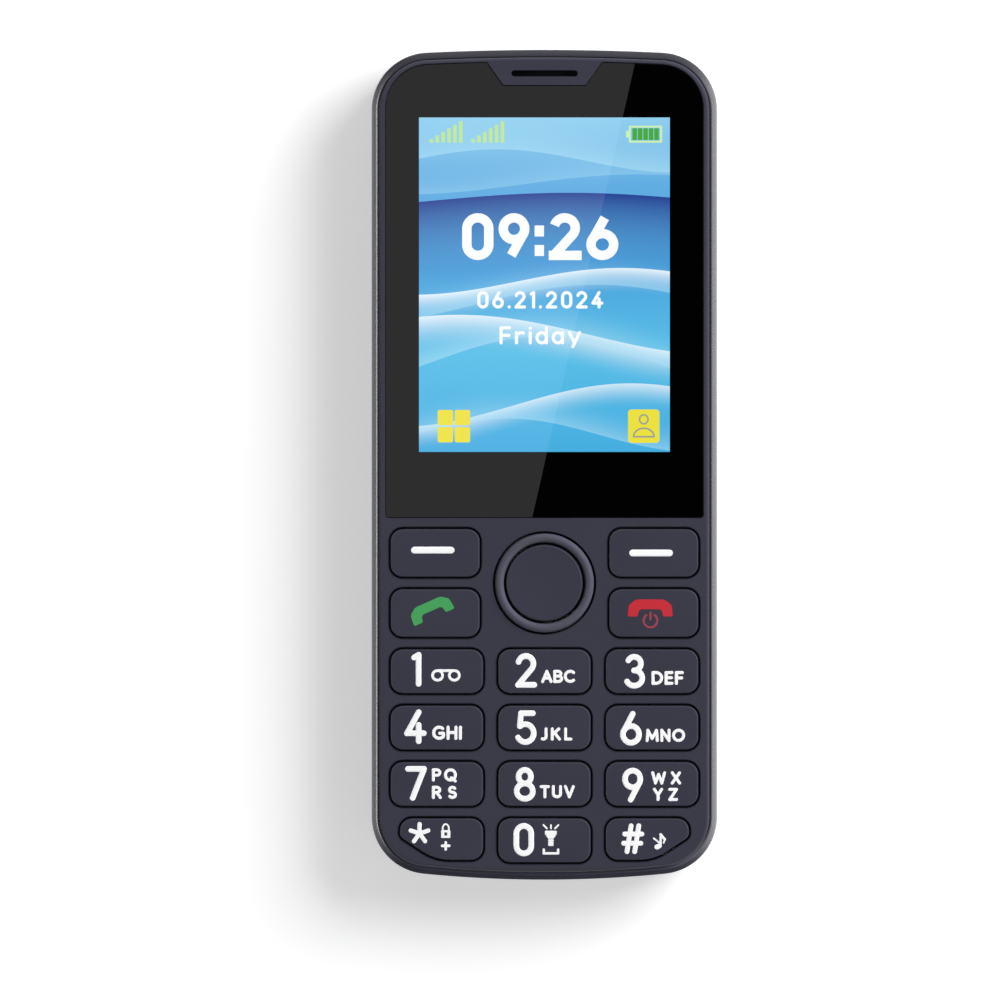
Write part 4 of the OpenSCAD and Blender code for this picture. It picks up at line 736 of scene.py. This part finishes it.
def lettering(text, x, y, high, weight, span, surface, lift, stretch=1.0, blunt=False):
    """Row of figures or letters from its left edge x and foot y. The height takes in the stroke's weight, and the
    gaps between signs are even and fill the span."""
    tall = high - weight
    signs = [[path_points(parts) * (stretch * tall, tall) for parts in STROKES[sign]] for sign in text]
    lefts = [min(p[:, 0].min() for p in paths) for paths in signs]
    wides = [max(p[:, 0].max() for p in paths) - left + weight for paths, left in zip(signs, lefts)]
    gap = (span - sum(wides)) / max(1, len(text) - 1)
    patches = []
    for paths, left, wide in zip(signs, lefts, wides):
        foot = np.array([x + weight / 2 - left, y + weight / 2])
        patches += [ribbon(foot + p, weight, surface, lift, blunt) for p in paths]
        x += wide + gap
    return patches


def plate(outline, surface, lift):
    """Thin plate of an outline that lies on the surface, a height for each place."""
    patches = [carried(outline, straight(-SINK, 0, lift, 0)), filled([drawn_in(outline, 0)], lift, 1),
               filled([drawn_in(outline, 0)], -SINK, -1)]
    for points, _, _ in patches:
        points[:, 2] += surface(points[:, 0], points[:, 1])
    return patches


# Signs on the screen

LIT_LINE = 0.3
CARD_X, CARD_Y = 14.55, 5.65


def on_lens(x, y):
    """Height of the lens's face, the same at every place."""
    return np.full(np.shape(x), Z_FACE)


def lit_plate(w, h, r, x, y, steps):
    """Rounded rectangle that lies on the lens."""
    return plate(rectangle(w, h, r, x, y, steps), on_lens, LIT_LIFT)


def clock():
    """Clock, date and day in rows about one line: text, foot, height, stroke, span, stretch and blunt ends."""
    middle = -0.6
    made = []
    for text, foot, high, weight, span, stretch, blunt in (("09:26", 29.9, 7.0, 1.5, 23.0, 1.08, True),
                                                           ("06.21.2024", 22.85, 2.6, 0.5, 18.5, 1.06, False),
                                                           ("Friday", 17.6, 2.7, 0.5, 12.0, 1.25, False)):
        made += lettering(text, middle - span / 2, foot, high, weight, span, on_lens, LIT_LIFT, stretch, blunt)
    return made


def signal_bars():
    """Two rows of bars, each bar a step taller than the one before."""
    wide, pitch, foot, lowest, step = 0.52, 0.86, 47.15, 0.55, 0.52
    made = []
    for left in (-16.8, -10.7):
        for i in range(6):
            tall = lowest + i * step
            made += lit_plate(wide, tall, 0.05, left + wide / 2 + i * pitch, foot + tall / 2, 1)
    return made


def battery_frame():
    """Four lines round the cells, with a cap on the left."""
    left, right, low, high = 12.5, 17.1, 47.3, 49.5
    turns = np.array([(left, low), (left, high), (right, high), (right, low), (left, low)])
    lines = [ribbon(turns[i:i + 2], LIT_LINE, on_lens, LIT_LIFT) for i in range(4)]
    return lines + lit_plate(0.4, 1.0, 0.1, left - 0.35, (low + high) / 2, 2)


def battery_cells():
    """Five upright cells in a row."""
    first, pitch, level = 13.22, 0.8, 48.4
    return [patch for i in range(5) for patch in lit_plate(0.68, 1.75, 0.06, first + i * pitch, level, 1)]


def menu_signs():
    """Four tiles in the lower left corner, and a card in the lower right one."""
    tile = 2.25
    tiles = [patch for x in (-14.5, -12.0) for y in (4.4, 6.9) for patch in lit_plate(tile, tile, 0.25, x, y, 3)]
    return tiles + lit_plate(4.6, 4.9, 0.5, CARD_X, CARD_Y, 4)


def contact_sign():
    """Round head over a half round chest, as lines on the card."""
    wide, foot = 1.5, CARD_Y - 1.55
    lines = ([(CARD_X, CARD_Y + 1.0, 0.62, 0.66, 0, 360)],
             [(CARD_X, foot, wide, 1.25, 0, 180), (CARD_X - wide, foot)],
             [(CARD_X - wide, foot), (CARD_X + wide, foot)])
    return [ribbon(path_points(line), LIT_LINE, on_lens, 2 * LIT_LIFT) for line in lines]


for name, patches, material in (("screen_clock", clock(), lit_white),
                                ("screen_signal", signal_bars(), lit_pale_green),
                                ("screen_battery_frame", battery_frame(), lit_lime),
                                ("screen_battery_cells", battery_cells(), lit_green),
                                ("screen_menu_signs", menu_signs(), lit_yellow),
                                ("screen_contact_sign", contact_sign(), lit_grey)):
    make_piece(name, patches, "phone", [material])


# Keys

def crowned(centre, half):
    """Height of a key's top: its rim plus a low pillow that falls off along both ways."""
    def surface(x, y):
        across = np.clip(1 - ((x - centre[0]) / half[0]) ** 2, 0, 1)
        along = np.clip(1 - ((y - centre[1]) / half[1]) ** 2, 0, 1)
        return Z_RIM + KEY_CROWN * across * along
    return surface


def key_cap(centre, half, outline):
    """Key: straight sides, a rounded edge in two halves and a pillowed top whose rings shrink to the middle. The
    edge rises with the pillow by its share of the way up."""
    surface = crowned(centre, half)
    patches = [filled([drawn_in(outline, 0)], Z_KEY_LOW, -1),
               carried(outline, straight(Z_KEY_LOW, 0, Z_RIM - KEY_EDGE, 0))]
    for a in (0, 45):
        edge = carried(outline, round_off(Z_RIM - KEY_EDGE, KEY_EDGE, KEY_EDGE, KEY_EDGE, a, a + 45, 4))
        share = np.clip((edge[0][:, 2] - Z_RIM + KEY_EDGE) / KEY_EDGE, 0, 1)
        edge[0][:, 2] += share * (surface(edge[0][:, 0], edge[0][:, 1]) - Z_RIM)
        patches.append(edge)
    ring = drawn_in(outline, KEY_EDGE)
    size = np.linspace(1, 0, 7)[:, None, None]
    flat = np.asarray(centre) + size * (ring - np.asarray(centre))[None]
    x, y = flat[..., 0], flat[..., 1]
    dx = -2 * KEY_CROWN * (x - centre[0]) / half[0] ** 2 * (1 - ((y - centre[1]) / half[1]) ** 2)
    dy = -2 * KEY_CROWN * (y - centre[1]) / half[1] ** 2 * (1 - ((x - centre[0]) / half[0]) ** 2)
    normals = unit(np.stack([-dx, -dy, np.ones_like(x)], -1))
    return patches + [grid(np.stack([x, y, surface(x, y)], -1), normals)]


# Each key's underside, straight side and lower half of its rounded edge take the painted gap shade; its upper edge
# and top take the key's slate.
for name, (centre, half, outline) in KEYS.items():
    make_piece(f"{name}_cap", key_cap(centre, half, outline), name, [key_skin, gap_painted_shade], [name],
               [1, 1, 1, 0, 0])

# Figures and letters by key: text, left edge and foot from the key's middle, height, stroke and span
BIG, SMALL = (5.1, 0.88, 0), (1.95, 0.46)
MARKS = {
    "key_1": [("1", -3.75, -2.25, *BIG)],
    "key_2": [("2", -4.3, -2.42, *BIG), ("ABC", -0.5, -1.72, *SMALL, 5.0)],
    "key_3": [("3", -4.1, -2.55, *BIG), ("DEF", -0.1, -2.0, 2.05, 0.48, 4.75)],
    "key_4": [("4", -4.8, -2.4, *BIG), ("GHI", -0.72, -1.8, 2.1, 0.48, 4.4)],
    "key_5": [("5", -4.3, -2.55, *BIG), ("JKL", -0.55, -1.9, *SMALL, 4.65)],
    "key_6": [("6", -4.7, -2.65, *BIG), ("MNO", -0.95, -2.1, *SMALL, 5.8)],
    "key_7": [("7", -4.65, -2.45, *BIG), ("PQ", -0.75, 0.35, *SMALL, 3.7), ("RS", -0.75, -2.2, *SMALL, 3.7)],
    "key_8": [("8", -4.5, -2.6, *BIG), ("TUV", -0.7, -2.1, *SMALL, 5.15)],
    "key_9": [("9", -4.4, -2.7, *BIG), ("WX", -0.15, -0.08, *SMALL, 4.4), ("YZ", 0.12, -2.5, *SMALL, 3.7)],
    "key_star": [("*", -4.15, -0.8, 3.5, 0.66, 0)],
    "key_0": [("0", -4.55, -2.35, 4.9, 0.88, 0)],
    "key_hash": [("#", -4.5, -2.0, 4.5, 0.76, 0)],
}


def level(y, x0, x1, width):
    """Level line at a height, as a path and a width."""
    return [(x0, y), (x1, y)], width


def upright(x, y0, y1, width):
    """Upright line at a place, as a path and a width."""
    return [(x, y0), (x, y1)], width


# Signs by key, each line a path from the key's middle and a width: bars, reels, lock and plus, torch and tray, note
BAR, BOLD, LINE, HAIR = 1.05, 0.42, 0.36, 0.26
BEAM = ((1.25, 0.7), (0.95, 0.7), (0.65, 0.5), (0.4, 0.3), (0.0, 0.24), (-0.35, 0.24), (-0.65, 0.24))
SIGNS = {
    "soft_key_left": [level(0.42, -3.0, 2.33, BAR)],
    "soft_key_right": [level(0.0, -3.05, 2.29, BAR)],
    "key_1": [([(x, -0.6, 0.74, 0.7, 0, 360)], BOLD) for x in (0.1, 2.55)] + [level(0.1, 0.1, 2.55, BOLD)],
    "key_star": [([(0.85, 1.45), (0.85, 1.75), (1.3, 1.75, 0.45, 0.62, 180, 0), (1.75, 1.45)], HAIR),
                 level(0.52, 0.78, 1.82, LINE), level(1.33, 0.78, 1.82, LINE),
                 upright(0.86, 0.6, 1.25, 0.5), upright(1.74, 0.6, 1.25, 0.5),
                 level(-0.8, 0.8, 1.8, BOLD), upright(1.3, -1.3, -0.3, BOLD)],
    "key_0": [([(x0, 1.75), (x1, 2.25)], HAIR) for x0, x1 in ((0.35, -0.15), (0.95, 0.95), (1.55, 2.05))]
    + [level(y, 0.95 - wide, 0.95 + wide, LINE) for y, wide in BEAM]
    + [upright(-0.1, -1.35, -1.9, LINE), level(-1.9, -0.1, 2.0, LINE), upright(2.0, -1.35, -1.9, LINE)],
    "key_hash": [([(0.74, -0.95), (0.94, -0.88)], 0.78), upright(1.25, -0.85, 0.85, 0.34),
                 ([(1.25, 0.85), (1.85, 0.15)], BOLD), ([(1.85, 0.15), (1.7, -0.35)], HAIR),
                 ([(0.25, 0.3), (1.1, -0.38)], HAIR)],
}


def key_legend(name):
    """A key's printed legend: the lines of its sign, then its figures and letters, which are wider in a word."""
    (cx, cy), half, _ = KEYS[name]
    surface = crowned((cx, cy), half)
    made = [ribbon(path_points(path) + (cx, cy), width, surface, INK_LIFT) for path, width in SIGNS.get(name, [])]
    for text, x, y, high, weight, span in MARKS.get(name, []):
        stretch = 1.0 if len(text) == 1 else 1.18
        made += lettering(text, cx + x, cy + y, high, weight, span, surface, INK_LIFT, stretch)
    return made


def handset(name, x, y, turn, long, high):
    """Handset sign as a plate: a bowed grip between two ends that turn down."""
    centre, half, _ = KEYS[name]
    w, h = long / 2, high / 2
    shape = [(0.95 * w, 0.35 * h), (0.62 * w, h), (-0.62 * w, h), (-0.95 * w, 0.35 * h), (-w, -h), (-0.58 * w, -h),
             (-0.48 * w, -0.15 * h), (0.48 * w, -0.15 * h), (0.58 * w, -h), (w, -h)]
    radii = [0.8, 1.0, 1.0, 0.8, 0.25, 0.25, 0.45, 0.45, 0.25, 0.25]
    c, s = cos(radians(turn)), sin(radians(turn))
    placed = [(centre[0] + x + c * px - s * py, centre[1] + y + s * px + c * py) for px, py in shape]
    return plate(rounded(placed, radii), crowned(centre, half), SIGN_LIFT)


def power_sign(name, x, y, r, width):
    """Ring that is open above, and an upright line in its gap."""
    (cx, cy), half, _ = KEYS[name]
    lines = [(cx + x, cy + y, r, r, 125, 415)], [(cx + x, cy + y + 0.2 * r), (cx + x, cy + y + 1.2 * r)]
    return [ribbon(path_points(line), width, crowned((cx, cy), half), POWER_LIFT) for line in lines]


for name in KEYS:
    legend = key_legend(name)
    if legend:
        make_piece(f"{name}_legend", legend, name, [white_ink])
make_piece("call_key_sign", handset("call_key", -0.6, 0.5, 24, 6.5, 2.45), "call_key", [green_ink])
make_piece("end_key_sign", handset("end_key", -0.5, 0.75, 0, 6.6, 2.5), "end_key", [red_ink])
make_piece("end_key_power_sign", power_sign("end_key", -0.5, -1.1, 1.0, 0.33), "end_key", [dark_red_ink])


# Rocker and centre key

AXIS = circle(0, Y_NAV, 0.0)


def rocker_ring():
    """Ring with a round bead on top and a thin flange below: its section's heights and radii carried round the
    axis, where a radius is an inset's opposite."""
    bead, inner, flange = NAV_W / 2, NAV_R - NAV_W, Z_NAV_LOW + NAV_FLANGE_T
    low = [(Z_NAV_LOW, -inner), (Z_NAV_LOW, -NAV_FLANGE_R), (flange, -NAV_FLANGE_R), (flange, -NAV_R),
           (Z_NAV_TOP - bead, -NAV_R)]
    top = carried(AXIS, round_off(Z_NAV_TOP - bead, bead - NAV_R, bead, bead, 0, 180, 21))
    return walls(AXIS, low) + [top] + walls(AXIS, [(Z_NAV_TOP - bead, -inner), (Z_NAV_LOW, -inner)])


def centre_key():
    """Disc with a rounded edge, a shallow dish that sinks as a parabola, and a plunger below, carried in the same
    way."""
    flat = OK_R - KEY_EDGE
    radius = np.linspace(flat, 0, 12)
    z = Z_KEY_TOP - OK_DISH * (1 - (radius / flat) ** 2)
    slope = 2 * OK_DISH * radius / flat ** 2
    length = np.hypot(slope, 1)
    sides = [(Z_PLUNGER, 0), (Z_PLUNGER, -OK_PLUNGER_R), (Z_OK_LOW, -OK_PLUNGER_R), (Z_OK_LOW, -OK_R),
             (Z_KEY_TOP - KEY_EDGE, -OK_R)]
    edge = carried(AXIS, round_off(Z_KEY_TOP - KEY_EDGE, -flat, KEY_EDGE, KEY_EDGE, 0, 90, 8))
    return walls(AXIS, sides) + [edge, carried(AXIS, (z, -radius, -slope / length, 1 / length))]


make_piece("rocker_bead", rocker_ring(), "nav_ring", [ring_skin], ["nav_ring"])
make_piece("centre_key_cap", centre_key(), "ok_key", [key_skin], ["ok_key"])


# Finishes of the solids that stay

FINISHES = {
    casing: ["rear_case", "battery_cover"],
    moulded("grey_silicone", (0.40, 0.41, 0.44), 0.7, scale=4000.0): ["keymat", "nav_carrier", "display_gasket"],
    metal("sheet_steel", (0.58, 0.58, 0.57)):
        ["earpiece_receiver", "key_domes", "shield_cans", "sim_sockets", "card_socket", "usb_port", "microphone",
         "vibration_motor", "case_screws"],
    metal("gold_plate", (0.80, 0.55, 0.20)): ["battery_contacts"],
    moulded("black_plastic", (0.014, 0.014, 0.015), 0.45):
        ["audio_jack", "camera_module", "loudspeaker", "lens_tape"],
    moulded("dust_mesh", (0.012, 0.012, 0.013), 0.8, scale=9000.0, cloud=0.5, depth=0.4):
        ["earpiece_mesh", "speaker_mesh"],
    moulded("display_glass", (0.01, 0.02, 0.05), 0.08): ["lcd_panel"],
    moulded("tray_white", (0.80, 0.80, 0.80), 0.5): ["backlight_tray"],
    moulded("film_amber", (0.45, 0.17, 0.03), 0.35): ["display_flex", "antenna"],
    moulded("solder_mask", (0.015, 0.10, 0.04), 0.35, scale=2500.0, cloud=0.3): ["main_board"],
    moulded("torch_resin", (0.80, 0.72, 0.30), 0.3): ["torch_led"],
    moulded("torch_clear", (0.78, 0.80, 0.82), 0.15): ["torch_lens"],
    camera_finish(): ["camera_window"],
    moulded("cell_wrap", (0.35, 0.40, 0.47), 0.35, scale=2500.0): ["battery"],
}


def smooth_everywhere():
    """Geometry nodes that only mark every face as smooth."""
    tree = bpy.data.node_groups.new("smooth_everywhere", "GeometryNodeTree")
    for way in ("INPUT", "OUTPUT"):
        tree.interface.new_socket(name="Geometry", in_out=way, socket_type="NodeSocketGeometry")
    smooth = node(tree, "GeometryNodeSetShadeSmooth", {0: tree.nodes.new("NodeGroupInput").outputs[0]})
    node(tree, "NodeGroupOutput", {0: smooth.outputs[0]})
    return tree


SMOOTH = smooth_everywhere()


def smooth_shading(solid):
    """Joins a solid's loose triangles, marks them smooth, parts them at sharp edges and evens the shading."""
    weld = solid.modifiers.new("joined", "WELD")
    weld.merge_threshold = 1e-6
    solid.modifiers.new("smooth", "NODES").node_group = SMOOTH
    part = solid.modifiers.new("sharp_edges", "EDGE_SPLIT")
    part.split_angle = radians(32)
    part.use_edge_sharp = False
    even = solid.modifiers.new("even_shading", "WEIGHTED_NORMAL")
    even.weight = 50
    even.keep_sharp = True


for finish, names in FINISHES.items():
    for name in names:
        nodes[name].data.materials.clear()
        nodes[name].data.materials.append(finish)
        smooth_shading(nodes[name])


# Studio, in millimetres: a pale floor, one broad light from the right and above, a sky that is dark overhead, and
# cards that only reflections show: one for the lens, a strip on each side for the band, and on each side a dim card
# on the floor, a painted shadow that the band reflects in place of the floor's shadow

CAMERA_AT, CAMERA_UP = np.array([-6.5, -5.16]), 5000.0
VIEW_WIDE, SENSOR = 146.4, 36.0
FLOOR_REACH, FLOOR_DROP = 3000.0, 0.2
CARD_UP, CARD_REACH, CARD_GLOW = 1000.0, 90.0, 0.68
STRIP_TOP, STRIP_FOOT, STRIP_REACH = (720.0, 660.0), (900.0, 360.0), 1200.0
SHADOW_CARD_GAP, SHADOW_CARD_W, SHADOW_CARD_REACH = 0.2, 75.0, 1.15 * Y_TOP


def sheet(name, corners, material):
    """Flat sheet through four corners, for the studio."""
    mesh = bpy.data.meshes.new(name)
    mesh.from_pydata((np.array(corners) * MM).tolist(), [], [(0, 1, 2, 3)])
    mesh.materials.append(material)
    made = bpy.data.objects.new(name, mesh)
    bpy.context.scene.collection.objects.link(made)
    return made


def plain_finish(name):
    """New material with nothing but its output."""
    material = bpy.data.materials.new(name)
    material.use_nodes = True
    material.node_tree.nodes.clear()
    return material, material.node_tree, node(material.node_tree, "ShaderNodeOutputMaterial")


def floor_finish():
    """White card: plain diffuse white that keeps shadows, brightened for what looks straight at it."""
    material, tree, out = plain_finish("studio_floor")
    white = node(tree, "ShaderNodeBsdfDiffuse", {"Color": (0.8, 0.8, 0.8, 1)})
    rays = node(tree, "ShaderNodeLightPath").outputs
    seen = sums("MAXIMUM", rays["Is Camera Ray"],
                sums("MAXIMUM", rays["Is Glossy Ray"], rays["Is Transmission Ray"]))
    glow = node(tree, "ShaderNodeEmission", {"Strength": sums("MULTIPLY", seen, 0.50)})
    both = node(tree, "ShaderNodeAddShader", {0: white.outputs[0], 1: glow.outputs[0]})
    feed(out, {"Surface": both.outputs[0]})
    return material


def mirrored(name, corners, strength):
    """Glowing card that only reflections show."""
    material, tree, out = plain_finish("studio_card")
    feed(out, {"Surface": node(tree, "ShaderNodeEmission", {"Strength": strength}).outputs[0]})
    card = sheet(name, corners, material)
    for rays in ("camera", "diffuse", "shadow", "transmission"):
        setattr(card, f"visible_{rays}", False)


def beside(side, near, far, reach):
    """Corners of a sheet between two lines along the phone, each at a distance to one side and a height."""
    return [(side * x, y, z) for (x, z), y in ((near, -reach), (far, -reach), (far, reach), (near, reach))]


def slanted_card():
    """Corners of the card over the lens: its edge is where the view of the lens's slanted line is thrown back."""
    grow = 1 + CARD_UP / CAMERA_UP
    (x0, y0), (x1, y1) = (CAMERA_AT + (np.array(p) - CAMERA_AT) * grow for p in ((14.2, 63.0), (-1.85, -8.0)))
    left, z = CAMERA_AT[0] - CARD_REACH, Z_FACE + CARD_UP
    return [(left, y1, z), (x1, y1, z), (x0, y0, z), (left, y0, z)]


def area_light(name, place, size, power):
    """Broad light that only shades: nothing mirrors it. Place and size are in metres."""
    lamp = bpy.data.lights.new(name, "AREA")
    lamp.shape = "RECTANGLE"
    lamp.size, lamp.size_y = size
    lamp.energy = power
    made = bpy.data.objects.new(name, lamp)
    made.location = place
    made.rotation_mode = "QUATERNION"
    made.rotation_quaternion = (-Vector(place)).to_track_quat("-Z", "Y")
    made.visible_glossy = False
    bpy.context.scene.collection.objects.link(made)


def studio_sky():
    """World that is bright near the horizon, less so on the left, and dark overhead."""
    world = bpy.data.worlds.new("studio")
    bpy.context.scene.world = world
    world.use_nodes = True
    tree = world.node_tree
    way = parts_of(place_on(tree, "Generated"))
    shade = ramp(way["Z"], [(0.0, (0.55, 0.55, 0.56)), (0.45, (0.45, 0.45, 0.46)), (0.8, (0.1, 0.1, 0.1)),
                            (0.93, (0.005, 0.005, 0.005))])
    lean = sums("MULTIPLY_ADD", sums("MINIMUM", way["X"], 0.0), 0.9, 1.0)
    feed(tree.nodes["Background"], {"Color": mixed("MULTIPLY", shade, lean), "Strength": 1.6})


def studio_camera():
    """Camera straight above the phone, far off, whose view at the phone's face is as wide as the photograph's."""
    camera = bpy.data.objects.new("camera", bpy.data.cameras.new("camera"))
    camera.data.sensor_width = SENSOR
    camera.data.lens = SENSOR * CAMERA_UP / VIEW_WIDE
    camera.location = (CAMERA_AT[0] * MM, CAMERA_AT[1] * MM, (Z_FACE + CAMERA_UP) * MM)
    bpy.context.scene.collection.objects.link(camera)
    bpy.context.scene.camera = camera
    bpy.context.scene.view_settings.view_transform = "Standard"


floor = beside(1, (-FLOOR_REACH, -FLOOR_DROP), (FLOOR_REACH, -FLOOR_DROP), FLOOR_REACH)
sheet("studio_floor", floor, floor_finish())
mirrored("studio_card", slanted_card(), CARD_GLOW)
for side, strength in ((-1, 3.0), (1, 0.75)):
    mirrored("studio_strip", beside(side, STRIP_TOP, STRIP_FOOT, STRIP_REACH), strength)
# Painted shadow: a dim card on the floor beside each side, seen only in reflections, standing in for the floor's
# shadow there.
for side, strength in ((-1, 0.4), (1, 0.9)):
    shadow_card = beside(side, (BODY_W / 2 + SHADOW_CARD_GAP, 0.0), (BODY_W / 2 + SHADOW_CARD_W, 0.0), SHADOW_CARD_REACH)
    mirrored("painted_floor_shadow", shadow_card, strength)
area_light("key_light", (0.85, 0.58, 0.75), (0.8, 0.8), 17.0)
studio_sky()
studio_camera()

bpy.context.view_layer.update()
